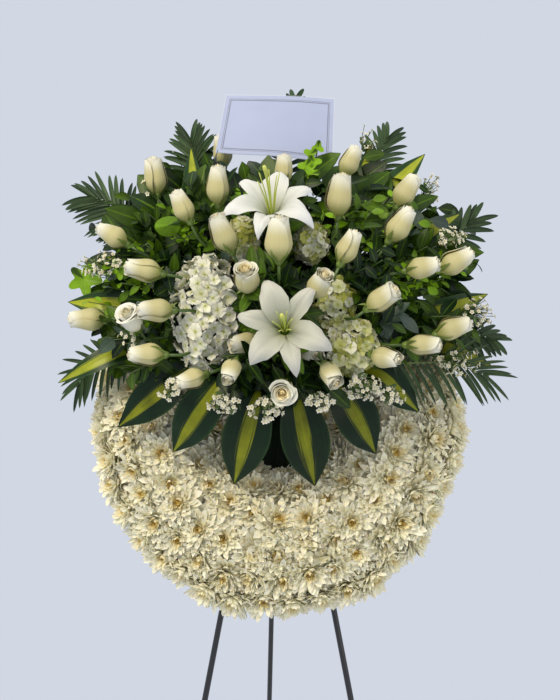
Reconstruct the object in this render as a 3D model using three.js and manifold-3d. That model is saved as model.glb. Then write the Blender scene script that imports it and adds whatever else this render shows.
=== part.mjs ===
// A funeral wreath: a ring of chrysanthemums with a spray of roses, lilies and leaves, hung on a
// three-legged stand. Millimetres, +Z up, front towards -Y.
import * as THREE from 'three';
import { mergeVertices } from 'three/addons/utils/BufferGeometryUtils.js';
import Module from 'manifold-3d';

const wasm = await Module();
wasm.setup();

// Driving dimensions
const ringCentreHeight = 1050;
const wreathLean = 10;
const ringInner = 96;
const ringOuter = 312;
const ringDepth = 72;
const bloomRows = 5;
const bedSteps = 6;
const bloomHeight = 28;
const bloomSeam = 5;
const bedCount = 6;
const bedAngle = 40;
const lastBedAngle = 30;
const rodRadius = 5.5;
const headBottom = 150;
const headTop = 188;
const headDepth = 46;
const headHalfWidth = 26;
const rodTop = 176;
const legSpreadAtHead = 6.9;
const legSlope = 0.1865;
const pegRadiusOnHead = 4;
const pegDepth = 4.6;
const wireRadius = 2;
const wireInRing = 22;
const rearFoot = new THREE.Vector3(-30, 370, -ringCentreHeight);
const footHeight = 34;
const footRadius = 11;
const foamHalf = new THREE.Vector3(160, 104, 116);
const foamHeight = 178;
const roseLength = 66;
const roseRadius = 24;
const lilyRadius = 80;
const stemRadius = 2.6;
const pegRadius = 4.5;
const leafThickness = 1.4;
const cardSize = new THREE.Vector2(194, 108);
const gap = 0.4;

// The view that the places of blooms and leaves are given in: the photograph's pixels
const viewDistance = 1500;
const mmPerPixel = 1.86;
const viewCentre = new THREE.Vector2(280, 350);
const ringCentreInView = new THREE.Vector2(278, 428);

const V = (x, y, z) => new THREE.Vector3(x, y, z);
const degrees = THREE.MathUtils.degToRad;
const mix = THREE.MathUtils.lerp;
const forward = V(0, -1, 0);

// A point seen at a pixel, this far in front of the ring's centre
function seen([px, py], depth) {
  const scale = mmPerPixel * (1 - depth / viewDistance);
  const x = (viewCentre.x - ringCentreInView.x) * mmPerPixel + (px - viewCentre.x) * scale;
  const z = (ringCentreInView.y - viewCentre.y) * mmPerPixel + (viewCentre.y - py) * scale;
  return V(x, -depth, z);
}

// How far the spray's rounded front stands before the ring's centre at a pixel
function domeDepth([px, py]) {
  const across = (px - 282) / 205;
  const up = (py - 300) / 165;
  const crown = Math.sqrt(Math.max(0, 1 - across * across - up * up));
  return 105 + 180 * crown - 0.25 * (300 - py);
}

// From the leaning wreath's own axes to upright ones
function leaned(x, y, z) {
  return V(x, y, z).applyAxisAngle(V(1, 0, 0), -degrees(wreathLean));
}

function seededRandom(seed) {
  let state = seed;
  return () => {
    state = (state * 1664525 + 1013904223) % 4294967296;
    return state / 4294967296;
  };
}

// Closed solids from points and faces
function solidFrom(points, faces) {
  const geometry = new THREE.BufferGeometry().setFromPoints(points);
  geometry.setIndex(faces.flat());
  return solidOf(geometry);
}

function solidOf(source) {
  const bare = source.clone();
  bare.deleteAttribute('normal');
  bare.deleteAttribute('uv');
  const geometry = mergeVertices(bare, 1e-3);
  const places = geometry.attributes.position.array;
  const corners = Uint32Array.from(geometry.index.array);
  if (signedVolume(places, corners) < 0) corners.reverse();
  return new wasm.Manifold(new wasm.Mesh({ numProp: 3, vertProperties: places, triVerts: corners }));
}

function signedVolume(places, corners) {
  const at = (i) => new THREE.Vector3().fromArray(places, 3 * i);
  let volume = 0;
  for (let i = 0; i < corners.length; i += 3) {
    volume += at(corners[i]).dot(at(corners[i + 1]).cross(at(corners[i + 2])));
  }
  return volume;
}

function geometryOf(solid) {
  const { vertProperties, triVerts } = solid.getMesh();
  const geometry = new THREE.BufferGeometry();
  geometry.setAttribute('position', new THREE.Float32BufferAttribute(vertProperties, 3));
  geometry.setIndex(new THREE.Uint32BufferAttribute(triVerts, 1));
  geometry.computeVertexNormals();
  return geometry;
}

const joined = (solids) => solids.reduce((a, b) => a.add(b));

// The largest body of a solid, without its loose scraps and sealed hollows
function largest(solid) {
  return solid.decompose().reduce((a, b) => (a.volume() > b.volume() ? a : b));
}

// A closed skin over a row of rings, where a ring of one point is a tip
function loft(rings) {
  const points = rings.flat();
  const faces = [];
  let start = 0;
  const starts = rings.map((ring) => (start += ring.length) - ring.length);
  for (let i = 0; i + 1 < rings.length; i += 1) {
    const [here, there] = [rings[i].length, rings[i + 1].length];
    for (let j = 0; j < Math.max(here, there); j += 1) {
      const a = starts[i] + (j % here);
      const b = starts[i] + ((j + 1) % here);
      const c = starts[i + 1] + (j % there);
      const d = starts[i + 1] + ((j + 1) % there);
      if (here > 1) faces.push([a, b, c]);
      if (there > 1) faces.push([c, b, d]);
    }
  }
  const ends = [[0, 1], [rings.length - 1, -1]];
  for (const [end, turn] of ends) {
    const count = rings[end].length;
    for (let j = 1; j + 1 < count; j += 1) {
      const face = [starts[end], starts[end] + j + 1, starts[end] + j];
      faces.push(turn > 0 ? face : face.reverse());
    }
  }
  return solidFrom(points, faces);
}

// A thin plate: its faces, given once, are laid on both sides of the points
function plate(points, normals, faces, rim, thickness) {
  const count = points.length;
  const side = (sign) => points.map((p, i) => p.clone().addScaledVector(normals[i], (sign * thickness) / 2));
  const all = [...side(1), ...side(-1)];
  const both = faces.flatMap(([a, b, c]) => [[a, b, c], [a + count, c + count, b + count]]);
  rim.forEach((a, i) => {
    const b = rim[(i + 1) % rim.length];
    both.push([a, a + count, b], [b, a + count, b + count]);
  });
  return solidFrom(all, both);
}

// Tangent, width and face directions along a line of points
function directionsAlong(points, facing) {
  return points.map((point, i) => {
    const before = points[Math.max(i - 1, 0)];
    const after = points[Math.min(i + 1, points.length - 1)];
    const along = after.clone().sub(before).normalize();
    const across = along.clone().cross(facing).normalize();
    return { along, across, normal: across.clone().cross(along) };
  });
}

// A blade with a pointed tip, folded along its middle
function blade(spine, halfWidths, facing, fold, room) {
  const directions = directionsAlong(spine, facing);
  const points = [];
  const normals = [];
  const faces = [];
  const last = spine.length - 1;
  for (let i = 0; i < last; i += 1) {
    const { across, normal } = directions[i];
    const half = halfWidths[i] + room;
    for (const side of [-1, 0, 1]) {
      const lift = Math.abs(side) * fold * half;
      points.push(spine[i].clone().addScaledVector(across, side * half).addScaledVector(normal, lift));
      normals.push(normal);
    }
    const [left, middle, right] = [3 * i, 3 * i + 1, 3 * i + 2];
    if (i + 1 < last) {
      faces.push([left, middle, left + 3], [left + 3, middle, middle + 3]);
      faces.push([middle, right, right + 3], [middle, right + 3, middle + 3]);
    } else {
      faces.push([left, middle, 3 * last], [middle, right, 3 * last]);
    }
  }
  points.push(spine[last].clone().addScaledVector(directions[last].along, room));
  normals.push(directions[last].normal);
  const rim = [1];
  for (let i = 0; i < last; i += 1) rim.push(3 * i + 2);
  rim.push(3 * last);
  for (let i = last - 1; i >= 0; i -= 1) rim.push(3 * i);
  return plate(points, normals, faces, rim, leafThickness + 2 * room);
}

// A flat leaflet of eight faces, thickest in its middle
function leaflet(from, to, halfWidth, facing, room) {
  const along = to.clone().sub(from).normalize();
  const across = along.clone().cross(facing).normalize().multiplyScalar(halfWidth + room);
  const up = across.clone().normalize().cross(along).multiplyScalar(leafThickness / 2 + room);
  const middle = from.clone().lerp(to, 0.45);
  const ring = [across, up, across.clone().negate(), up.clone().negate()].map((v) => middle.clone().add(v));
  return loft([[from], ring, [to]]);
}

// A stem of few sides along a line of points
function stem(points, radius, sides, room) {
  const directions = directionsAlong(points, V(0.31, -0.9, 0.27));
  return loft(points.map((point, i) => {
    const { across, normal } = directions[i];
    return Array.from({ length: sides }, (_, j) => {
      const turn = (2 * Math.PI * j) / sides;
      const reach = radius + room;
      return point.clone()
        .addScaledVector(across, reach * Math.cos(turn))
        .addScaledVector(normal, reach * Math.sin(turn));
    });
  }));
}

// Turned rows of [radius, height, lobe], twisted a little from row to row, along +Z
function turned(rows, sides, lobes, twist) {
  return loft(rows.map(([radius, height, lobe = 0, lift = 0], i) => {
    if (radius === 0) return [V(0, 0, height)];
    return Array.from({ length: sides }, (_, j) => {
      const turn = (2 * Math.PI * j) / sides;
      const wave = Math.cos(lobes * turn + i * 1.7);
      const reach = radius * (1 + lobe * wave);
      const angle = turn + i * twist;
      return V(reach * Math.cos(angle), reach * Math.sin(angle), height + lift * wave);
    });
  }));
}

// A solid made along +Z, set at a place with its axis turned
function set(solid, place, axis, spin = 0) {
  const turn = new THREE.Quaternion().setFromUnitVectors(V(0, 0, 1), axis.clone().normalize());
  const matrix = new THREE.Matrix4().compose(place, turn, V(1, 1, 1));
  matrix.multiply(new THREE.Matrix4().makeRotationZ(spin));
  return solid.transform(matrix.elements);
}

// A direction from its angle in the picture and its turn towards the viewer
function pointing(angle, toward) {
  const flat = Math.cos(degrees(toward));
  return V(flat * Math.cos(degrees(angle)), -Math.sin(degrees(toward)), flat * Math.sin(degrees(angle)));
}

// Materials
function finish(colour, roughness, metalness = 0) {
  return new THREE.MeshStandardMaterial({ color: colour, roughness, metalness });
}
const finishes = {
  rod: finish(0x15171a, 0.4, 0.3),
  rubber: finish(0x101012, 0.9),
  wire: finish(0x8d9093, 0.4, 0.8),
  straw: finish(0xb59a5c, 0.95),
  chrysanthemum: finish(0xe6dcb4, 0.8),
  foam: finish(0x2f5a3a, 0.95),
  rose: finish(0xf4eed8, 0.6),
  lily: finish(0xf1f3ee, 0.5),
  hydrangea: finish(0xe3ead0, 0.7),
  leaf: finish(0x1f4a2a, 0.45),
  frond: finish(0x2a4632, 0.5),
  green: finish(0x3a7a2a, 0.55),
  filler: finish(0xdfe6c8, 0.75),
  card: finish(0xd7d8ea, 0.35),
  wood: finish(0xc2a878, 0.8),
};

// The ring's rounded section at an angle from its inner to its outer edge, and around the ring
function onRing(sectionAngle, aroundAngle, thickness) {
  const middle = (ringInner + ringOuter) / 2;
  const half = (ringOuter - ringInner) / 2 + thickness;
  const radius = middle - half * Math.cos(sectionAngle);
  const depth = (ringDepth + thickness) * Math.sin(sectionAngle);
  return V(radius * Math.cos(aroundAngle), -depth, radius * Math.sin(aroundAngle));
}

const sectionAngle = (row) => (Math.PI * row) / bloomRows;

function ringBase() {
  const steps = (360 / bedAngle) * (bedSteps / 2);
  const profile = Array.from({ length: bloomRows + 1 }, (_, row) => {
    const edge = onRing(sectionAngle(row), 0, 0);
    return new THREE.Vector2(edge.x, edge.y);
  });
  return solidOf(new THREE.LatheGeometry([...profile, profile[0].clone()], steps, degrees(90 - lastBedAngle)));
}

// Triangles between two rows of points, which may be of different length
function stitched(lower, upper) {
  const faces = [];
  let [i, j] = [0, 0];
  while (i + 1 < lower.length || j + 1 < upper.length) {
    const lowerNext = (i + 1) / (lower.length - 1);
    const upperNext = (j + 1) / (upper.length - 1);
    if (j + 1 >= upper.length || (i + 1 < lower.length && lowerNext <= upperNext)) {
      faces.push(lower[i], lower[i + 1], upper[j]);
      i += 1;
    } else {
      faces.push(lower[i], upper[j + 1], upper[j]);
      j += 1;
    }
  }
  return faces;
}

// Blooms in each row of a bed, from the ring's inner edge to its outer edge
const bloomsInRow = [1, 2, 2, 3, 3];

// One chrysanthemum raised on its cell of the bed: six pointed petals, an inner tier and a heart
function chrysanthemum(surface, row, column, columns) {
  const wide = bedSteps / columns;
  const centre = [row + 0.5, (column + 0.5) * wide];
  const edge = [];
  for (let i = 0; i < wide; i += 1) edge.push([row, column * wide + i]);
  edge.push([row, (column + 1) * wide], [row + 0.5, (column + 1) * wide]);
  for (let i = wide; i > 0; i -= 1) edge.push([row + 1, column * wide + i]);
  edge.push([row + 1, column * wide], [row + 0.5, column * wide]);
  const shift = 0.5 * row + 0.7 * column;
  const tier = (count, reach, height, notchReach, notchHeight) =>
    Array.from({ length: count }, (_, i) => {
      const turn = (2 * Math.PI * i) / count - 0.75 * Math.PI + 0.06 * shift;
      const notch = i % 2 === 1;
      const part = notch ? notchReach : reach;
      const across = centre[1] + 0.5 * wide * part * Math.cos(turn);
      return surface(centre[0] + 0.5 * part * Math.sin(turn), across, notch ? notchHeight : height);
    });
  const rim = edge.map(([s, a]) => surface(s, a, bloomSeam));
  const outer = tier(12, 0.94, 0.62 * bloomHeight, 0.66, 0.34 * bloomHeight);
  const inner = tier(6, 0.5, 0.92 * bloomHeight, 0.36, 0.7 * bloomHeight);
  const heart = surface(...centre, bloomHeight);
  const closed = (loop) => [...loop, loop[0]];
  const faces = [...stitched(closed(rim), closed(outer)), ...stitched(closed(outer), closed(inner))];
  inner.forEach((point, i) => faces.push(point, inner[(i + 1) % inner.length], heart));
  return faces;
}

function chrysanthemumBed(index) {
  const seam = gap / 2 / ringInner;
  const to = degrees(lastBedAngle - index * bedAngle) - seam;
  const from = degrees(lastBedAngle - (index + 1) * bedAngle) + seam;
  const surface = (row, step, height) => onRing(sectionAngle(row), mix(from, to, step / bedSteps), height);
  const under = 1.5 * gap;
  const faces = bloomsInRow.flatMap((columns, row) =>
    Array.from({ length: columns }, (_, column) => chrysanthemum(surface, row, column, columns)).flat());
  const line = (count, at) => Array.from({ length: count + 1 }, (_, i) => at(i / count));
  const halfSteps = bedSteps / 2;
  for (let row = 0; row < bloomRows; row += 1) {
    const inside = (r) => line(halfSteps, (t) => surface(r, t * bedSteps, under));
    faces.push(...stitched(inside(row + 1), inside(row)));
  }
  for (const [row, turned] of [[0, false], [bloomRows, true]]) {
    const strip = stitched(
      line(halfSteps, (t) => surface(row, t * bedSteps, under)),
      line(bedSteps, (t) => surface(row, t * bedSteps, bloomSeam)),
    );
    faces.push(...(turned ? strip.reverse() : strip));
  }
  for (const [step, turned] of [[0, true], [bedSteps, false]]) {
    const strip = stitched(
      line(bloomRows, (t) => surface(t * bloomRows, step, under)),
      line(2 * bloomRows, (t) => surface(t * bloomRows, step, bloomSeam)),
    );
    faces.push(...(turned ? strip.reverse() : strip));
  }
  return solidOf(mergeVertices(new THREE.BufferGeometry().setFromPoints(faces), 1e-3));
}

// The stand's rods, in the leaning wreath's axes
function frontRod(side, room) {
  const bottom = -(ringCentreHeight + 1) / Math.cos(degrees(wreathLean)) - 15;
  const atTop = V(side * legSpreadAtHead, rodRadius + gap, rodTop + room);
  const atFloor = V(side * (legSpreadAtHead + legSlope * (rodTop - bottom)), rodRadius + gap, bottom);
  return stem([atTop, atFloor], rodRadius, 8, room);
}

function rearRod(room) {
  const atTop = leaned(0, headDepth - 14, rodTop + room);
  return stem([atTop, rearFoot], rodRadius, 8, room);
}

const lean = (solid) => solid.rotate([-wreathLean, 0, 0]);

function box(size, centre) {
  const geometry = new THREE.BoxGeometry(size.x, size.y, size.z);
  geometry.translate(centre.x, centre.y, centre.z);
  return solidOf(geometry);
}

function aboveFloor(solid, height) {
  return solid.subtract(box(V(2000, 2000, 400), V(0, 0, height - 200 - ringCentreHeight)));
}

function foot(rod, rodWithRoom, centre) {
  const rows = [[footRadius, -20], [footRadius, footHeight - 14], [footRadius - 2.5, footHeight]];
  const axis = rod.clone().normalize();
  return aboveFloor(set(turned(rows, 8, 0, 0), centre, axis), 0).subtract(rodWithRoom);
}

// The loop of wire on the ring's back, which goes close round the peg on the stand's head
function hangingLoop(room) {
  const height = headTop + wireRadius + gap;
  const reach = pegRadiusOnHead + gap + wireRadius;
  const bend = Array.from({ length: 7 }, (_, i) => {
    const angle = (Math.PI * i) / 6;
    return V(reach * Math.cos(angle), pegDepth + reach * Math.sin(angle), height);
  });
  const inRing = -wireInRing - room;
  return stem([V(reach, inRing, height), ...bend, V(-reach, inRing, height)], wireRadius, 6, room);
}

function pegOnHead(room) {
  const radius = pegRadiusOnHead + room;
  const rows = [[radius, -9 - room], [radius, 37], [radius * 0.6, 42]];
  return set(turned(rows, 8, 0, 0), V(0, pegDepth, headTop), V(0, 0, 1));
}

function standHead() {
  const outline = new THREE.Shape();
  outline.moveTo(-headHalfWidth, gap);
  outline.lineTo(headHalfWidth, gap);
  outline.lineTo(headHalfWidth * 0.6, headDepth);
  outline.lineTo(-headHalfWidth * 0.6, headDepth);
  const block = new THREE.ExtrudeGeometry(outline, { depth: headTop - headBottom, bevelEnabled: false });
  block.translate(0, 0, headBottom);
  return solidOf(block);
}

// Foam and the way that each stem enters it
const ringFront = ringDepth * Math.sin(sectionAngle(2));
const foamCentre = leaned(0, -(ringFront + 0.75 * gap), foamHeight);

function foamDome() {
  const sphere = new THREE.SphereGeometry(1, 10, 6);
  sphere.scale(foamHalf.x, foamHalf.y, foamHalf.z);
  const back = box(V(800, 400, 800), V(0, 200, 0));
  return lean(solidOf(sphere).subtract(back)).translate(foamCentre.toArray());
}

function foamReach(direction) {
  const own = direction.clone().applyAxisAngle(V(1, 0, 0), degrees(wreathLean));
  return 1 / Math.hypot(own.x / foamHalf.x, own.y / foamHalf.y, own.z / foamHalf.z);
}

// The root that a bunch of stems shares: its direction, its outer end and its solid
function rootToward(target, room, radius = pegRadius) {
  const direction = target.clone().sub(foamCentre).normalize();
  const reach = foamReach(direction);
  const start = foamCentre.clone().addScaledVector(direction, reach * 0.66 - room);
  const end = foamCentre.clone().addScaledVector(direction, reach + 14);
  return { end, direction, solid: stem([start, end.clone().addScaledVector(direction, 2)], radius, 3, room) };
}

function middleOf(points) {
  return points.reduce((sum, p) => sum.add(p), V(0, 0, 0)).divideScalar(points.length);
}

// Roses: [pixel, angle in the picture, turn towards the viewer, how far open, how far set back]
const roseBunches = {
  roses_upper_left: [
    [[155, 175], 95, 15, 0, 0, 0.97],
    [[182, 205], 115, 15, 0, 0, 0.82],
    [[111, 235], 150, 10, 0, 0, 0.85],
    [[142, 270], 170, 15, 0, 0, 0.9],
  ],
  roses_left: [
    [[86, 319], 180, 8, 0, 0, 0.92],
    [[154, 310], 180, 20, 0, 0, 0.86],
    [[131, 319], 120, 45, 0.7, 0, 0.86],
    [[145, 355], 180, 15, 0, 0, 0.86],
  ],
  roses_inner_left: [
    [[218, 184], 90, 20, 0, 0, 0.97],
    [[223, 232], 115, 25, 0, 0, 0.98],
    [[246, 278], 97, 48, 0.45, 0, 0.92],
  ],
  roses_lower_left: [
    [[190, 380], 200, 30, 0, 0, 0.76],
    [[231, 372], 250, 50, 0, 0, 0.72],
    [[243, 343], 190, 30, 0, 42, 0.76],
  ],
  roses_top: [
    [[284, 168], 88, 12, 0, 10, 0.72],
    [[222, 147], 95, 10, 0, 66, 0.85],
  ],
  rose_centre: [
    [[279, 237], 90, 20, 0, -28, 1.04],
  ],
  roses_upper_right: [
    [[340, 194], 85, 15, 0, 0, 1.04],
    [[350, 160], 64, 10, 0, 0, 0.8],
    [[349, 246], 64, 12, 0, 0, 0.84],
    [[320, 283], 60, 46, 0.25, 0, 0.84],
  ],
  roses_outer_right: [
    [[407, 190], 57, 12, 0, 0, 0.9],
    [[400, 223], 58, 15, 0, 0, 0.95],
    [[424, 267], 12, 15, 0, 0, 0.83],
    [[457, 261], 28, 10, 0, 0, 0.94],
  ],
  roses_lower_right: [
    [[383, 298], 35, 25, 0.2, 0, 0.9],
    [[455, 328], 20, 12, 0, 0, 0.9],
    [[425, 345], 0, 18, 0, 0, 0.82],
    [[387, 357], -10, 45, 0, 0, 0.82],
  ],
  roses_lower_middle: [
    [[331, 375], -60, 45, 0.15, 0, 0.76],
    [[282, 390], 270, 72, 0.9, 0, 0.84],
    [[307, 349], -30, 50, 0, 62, 0.9],
  ],
};

// A rose head with its tiers of petals, along +Z from its base
function roseHead(open, size, room) {
  const wide = size * roseRadius * (1 + 0.3 * open) + room;
  const long = size * roseLength * (1 - 0.3 * open);
  return turned([
    [5 + room, -room],
    [wide * 0.9, long * 0.26],
    [wide, long * 0.58, 0.07],
    [wide * (0.84 + 0.36 * open), long * 0.86 + room, 0.1, 3],
    [wide * 0.52, long * 0.8 + room],
    [0, long + room],
  ], 6, 2, 0.4);
}

function roseBunch(roses, room) {
  const heads = roses.map(([pixel, angle, toward, open, back, size]) => {
    const axis = pointing(angle, toward);
    const long = size * roseLength * (1 - 0.3 * open);
    const base = seen(pixel, domeDepth(pixel) - back).addScaledVector(axis, -long / 2);
    return { axis, base, open, size };
  });
  const root = rootToward(middleOf(heads.map(({ base }) => base)), room);
  const solids = heads.flatMap(({ axis, base, open, size }) => {
    const inside = base.clone().addScaledVector(axis, 6);
    return [
      set(roseHead(open, size, room), base, axis),
      stem([root.end, inside], stemRadius, 3, room),
    ];
  });
  return joined([root.solid, ...solids]);
}

// A lily: three broad petals between three narrow ones, bent back at their tips, with stamens
function lilyHead(room) {
  const points = [V(0, 0, -6)];
  const faces = [];
  const rim = [];
  const perPetal = 9;
  for (let i = 0; i < 6; i += 1) {
    const angle = (Math.PI * i) / 3;
    const lift = i % 2 ? 0 : 3;
    const wide = (i % 2 ? 0.78 : 1.1) + room / 15;
    const at = (r, side, z) => V(
      r * Math.cos(angle) - side * wide * Math.sin(angle),
      r * Math.sin(angle) + side * wide * Math.cos(angle),
      z + lift,
    );
    const notch = angle - Math.PI / 6;
    points.push(V(14 * Math.cos(notch), 14 * Math.sin(notch), 12), at(7, 0, -lift));
    points.push(at(38, -16, 36), at(40, 0, 31), at(38, 16, 36));
    points.push(at(62, -13, 37), at(64, 0, 33), at(62, 13, 37), at(lilyRadius + room, 0, 12));
    const [n, t, l, c, r, l2, c2, r2, tip] = Array.from({ length: perPetal }, (_, k) => 1 + i * perPetal + k);
    const [nextNotch, nextThroat] = [n, t].map((k) => 1 + ((k - 1 + perPetal) % (6 * perPetal)));
    faces.push([n, t, l], [t, c, l], [t, r, c], [t, nextNotch, r], [l, c, l2], [c, c2, l2]);
    faces.push([c, r, c2], [r, r2, c2], [l2, c2, tip], [c2, r2, tip]);
    faces.push([t, nextThroat, nextNotch], [0, nextThroat, t]);
    rim.push(n, l, l2, tip, r2, r);
  }
  const normals = points.map(() => V(0, 0, 1));
  const petals = plate(points, normals, faces, rim.reverse(), 1.8 + 2 * room);
  const stamens = Array.from({ length: 3 }, (_, i) => {
    const angle = (2 * Math.PI * i) / 3 + 0.4;
    const end = V(20 * Math.cos(angle), 20 * Math.sin(angle), 56);
    return stem([V(0, 0, -8), end], 1.4, 3, room);
  });
  const tube = turned([[4 + room, -34 - room], [9 + room, -3]], 6, 0, 0);
  return joined([tube, petals, ...stamens]);
}

const lilies = {
  lily_upper: { pixel: [271, 204], angle: 95, toward: 50, spin: 1.25, depth: 235 },
  lily_lower: { pixel: [284, 326], angle: 100, toward: 78, spin: -0.2, depth: 296 },
};

function lily({ pixel, angle, toward, spin, depth }, room) {
  const axis = pointing(angle, toward);
  const place = seen(pixel, depth).addScaledVector(axis, -20);
  const foot = place.clone().addScaledVector(axis, -30);
  const root = rootToward(foot, room);
  return joined([set(lilyHead(room), place, axis, spin), stem([root.end, foot], 3.4, 4, room), root.solid]);
}

// A hydrangea: four-petalled florets over a smaller heart
function floret(radius, room) {
  const ring = Array.from({ length: 8 }, (_, i) => {
    const angle = (Math.PI * i) / 4;
    const reach = (i % 2 ? radius * 0.62 : radius) + room;
    return V(reach * Math.cos(angle), reach * Math.sin(angle), i % 2 ? -2 : 1);
  });
  return loft([[V(0, 0, -10 - 2 * room)], ring, [V(0, 0, 6 + 2 * room)]]);
}

function hydrangeaHead(centre, half, florets, room) {
  const core = new THREE.SphereGeometry(1, 6, 4);
  core.scale(half.x * 0.86 + room, half.y * 0.86 + room, half.z * 0.86 + room);
  const heads = Array.from({ length: florets }, (_, i) => {
    const height = 1 - (2 * (i + 0.5)) / florets;
    const flat = Math.sqrt(1 - height * height);
    const turn = i * Math.PI * (3 - Math.sqrt(5));
    const way = V(flat * Math.cos(turn), flat * Math.sin(turn), height);
    return set(floret(18, room), way.clone().multiply(half).multiplyScalar(0.97), way, i);
  });
  return joined([solidOf(core), ...heads]).translate(centre.toArray());
}

const hydrangeas = {
  hydrangea_left: [{ pixel: [206, 314], depth: 178, half: V(54, 46, 88), florets: 14 }],
  hydrangea_right: [{ pixel: [333, 305], depth: 190, half: V(35, 36, 44), florets: 6 },
    { pixel: [350, 346], depth: 196, half: V(44, 42, 46), florets: 7 }],
  hydrangea_rear: [{ pixel: [243, 240], depth: 170, half: V(28, 28, 34), florets: 3 },
    { pixel: [311, 243], depth: 170, half: V(27, 28, 32), florets: 3 }],
};

function hydrangea(heads, room) {
  const centres = heads.map(({ pixel, depth }) => seen(pixel, depth));
  const root = rootToward(middleOf(centres), room);
  const solids = heads.flatMap(({ half, florets }, i) => [
    hydrangeaHead(centres[i], half, florets, room),
    stem([root.end, centres[i]], 4, 4, room),
  ]);
  return joined([root.solid, ...solids]);
}

// Broad leaves: [pixel where one shows first, pixel of its tip, their depths, half width]
const broadLeaves = {
  broad_leaves_lower_left: [[[186, 372], [118, 427], 165, 128, 34], [[219, 384], [173, 452], 180, 128, 36]],
  broad_leaf_middle_left: [[[257, 398], [234, 484], 190, 130, 40]],
  broad_leaf_middle_right: [[[297, 400], [315, 486], 190, 130, 40]],
  broad_leaves_lower_right: [[[340, 388], [376, 454], 178, 128, 37], [[380, 374], [419, 412], 165, 130, 28]],
  broad_leaves_left: [[[118, 352], [58, 383], 134, 120, 19], [[122, 306], [68, 302], 112, 86, 24]],
  broad_leaves_right: [[[440, 312], [488, 294], 108, 88, 22], [[446, 348], [493, 367], 120, 100, 22]],
  broad_leaves_upper_right: [[[390, 190], [425, 154], 80, 40, 22], [[415, 240], [460, 214], 100, 72, 24]],
  broad_leaves_top: [[[360, 190], [370, 144], 72, 36, 20], [[196, 205], [191, 148], 80, 34, 20]],
};

function broadLeafBunch(leaves, room) {
  const starts = leaves.map(([from, , depth]) => seen(from, depth));
  const root = rootToward(middleOf(starts), room);
  const blades = leaves.map(([, to, depth, tipDepth, half], i) => {
    const tip = seen(to, tipDepth);
    const rise = root.end.clone().lerp(starts[i], 0.5);
    const bow = starts[i].clone().lerp(tip, 0.45).addScaledVector(forward, 0.12 * starts[i].distanceTo(tip));
    const curve = new THREE.CatmullRomCurve3([root.end, rise, starts[i], bow, tip]);
    const widths = [2.5, 5, half * 0.7, half, half * 0.72, 0];
    const stops = [0, 0.2, 0.42, 0.62, 0.83, 1];
    const facing = V(0, -1, 0.15).addScaledVector(root.direction, 0.4).normalize();
    return blade(stops.map((t) => curve.getPointAt(t)), widths, facing, 0.16, room);
  });
  return joined([root.solid, ...blades]);
}

// A palm frond: two rows of narrow leaflets cut to the rib in one thin arched blade
function frondBlade(rib, leaflets, reach, facing, room) {
  const curve = new THREE.CatmullRomCurve3(rib);
  const spine = Array.from({ length: leaflets + 1 }, (_, i) => curve.getPointAt(i / leaflets));
  const directions = directionsAlong(spine, facing);
  const ribHalf = 1.6 + room;
  const points = [];
  const normals = [];
  spine.forEach((point, i) => {
    for (const side of [-1, 1]) {
      points.push(point.clone().addScaledVector(directions[i].across, side * ribHalf));
      normals.push(directions[i].normal);
    }
  });
  const faces = [];
  const tips = [[], []];
  for (let i = 0; i < leaflets; i += 1) {
    const [a, b, c, d] = [2 * i, 2 * i + 1, 2 * i + 2, 2 * i + 3];
    faces.push([a, b, c], [c, b, d]);
    const { along, across, normal } = directions[i];
    const share = Math.sin((Math.PI * (i + 1.6)) / (leaflets + 2.2));
    const long = reach * (0.45 + 0.55 * share) + room;
    for (const side of [0, 1]) {
      const tip = spine[i].clone().lerp(spine[i + 1], 0.5)
        .addScaledVector(across, (side ? 1 : -1) * long * 0.8)
        .addScaledVector(along, long * 0.6)
        .addScaledVector(normal, -long * 0.12);
      tips[side].push(points.length);
      faces.push(side ? [b, points.length, d] : [c, points.length, a]);
      points.push(tip);
      normals.push(normal);
    }
  }
  const rim = [];
  for (let i = 0; i < leaflets; i += 1) rim.push(2 * i + 1, tips[1][i]);
  rim.push(2 * leaflets + 1);
  for (let i = leaflets; i > 0; i -= 1) rim.push(2 * i, tips[0][i - 1]);
  rim.push(0);
  return plate(points, normals, faces, rim, 1 + 2 * room);
}

// Palm fronds: [pixels along the rib, depths at its ends, leaflet length, leaflet pairs]
const fronds = {
  palm_frond_left: [[[150, 236], [112, 205], [72, 190]], [86, 56], 72, 10],
  palm_frond_upper_left: [[[206, 205], [196, 165], [187, 122]], [52, 4], 66, 10],
  palm_frond_top: [[[290, 180], [292, 130], [297, 88]], [34, -20], 50, 8],
  palm_frond_upper_right: [[[366, 196], [378, 160], [396, 120]], [56, 14], 66, 10],
  palm_frond_right: [[[420, 262], [455, 236], [488, 208]], [84, 56], 62, 9],
  palm_frond_lower_right: [[[392, 366], [450, 368], [508, 392]], [150, 112], 76, 12],
  palm_frond_lower_left: [[[128, 354], [94, 366], [66, 400]], [100, 84], 58, 9],
  palm_frond_far_right: [[[440, 330], [475, 335], [510, 344]], [104, 78], 44, 8],
};

function palmFrond([pixels, [near, far], reach, pairs], room) {
  const rib = pixels.map((pixel, i) => seen(pixel, mix(near, far, i / (pixels.length - 1))));
  const root = rootToward(rib[0], room, 3.4);
  return joined([
    root.solid,
    stem([root.end, rib[0].clone().lerp(rib[1], 0.1)], 2.4, 4, room),
    frondBlade(rib, pairs, reach, V(0, -1, 0.1), room),
  ]);
}

// Dark leaves that hang behind the hole, against the two front rods
function backLeaves() {
  const start = 2 * rodRadius + 2 * gap + leafThickness;
  const solids = [-1, 0, 1].map((side) => {
    const swing = side * 0.38;
    const reach = 250 - 20 * Math.abs(side);
    const points = [0, 0.3, 0.7, 1].map((t) =>
      leaned(Math.sin(swing) * reach * t, start + (14 + 6 * side) * t, 132 - Math.cos(swing) * reach * t));
    return blade(points, [24, 34, 34, 0], forward, -0.03, 0);
  });
  return largest(joined(solids));
}

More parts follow.
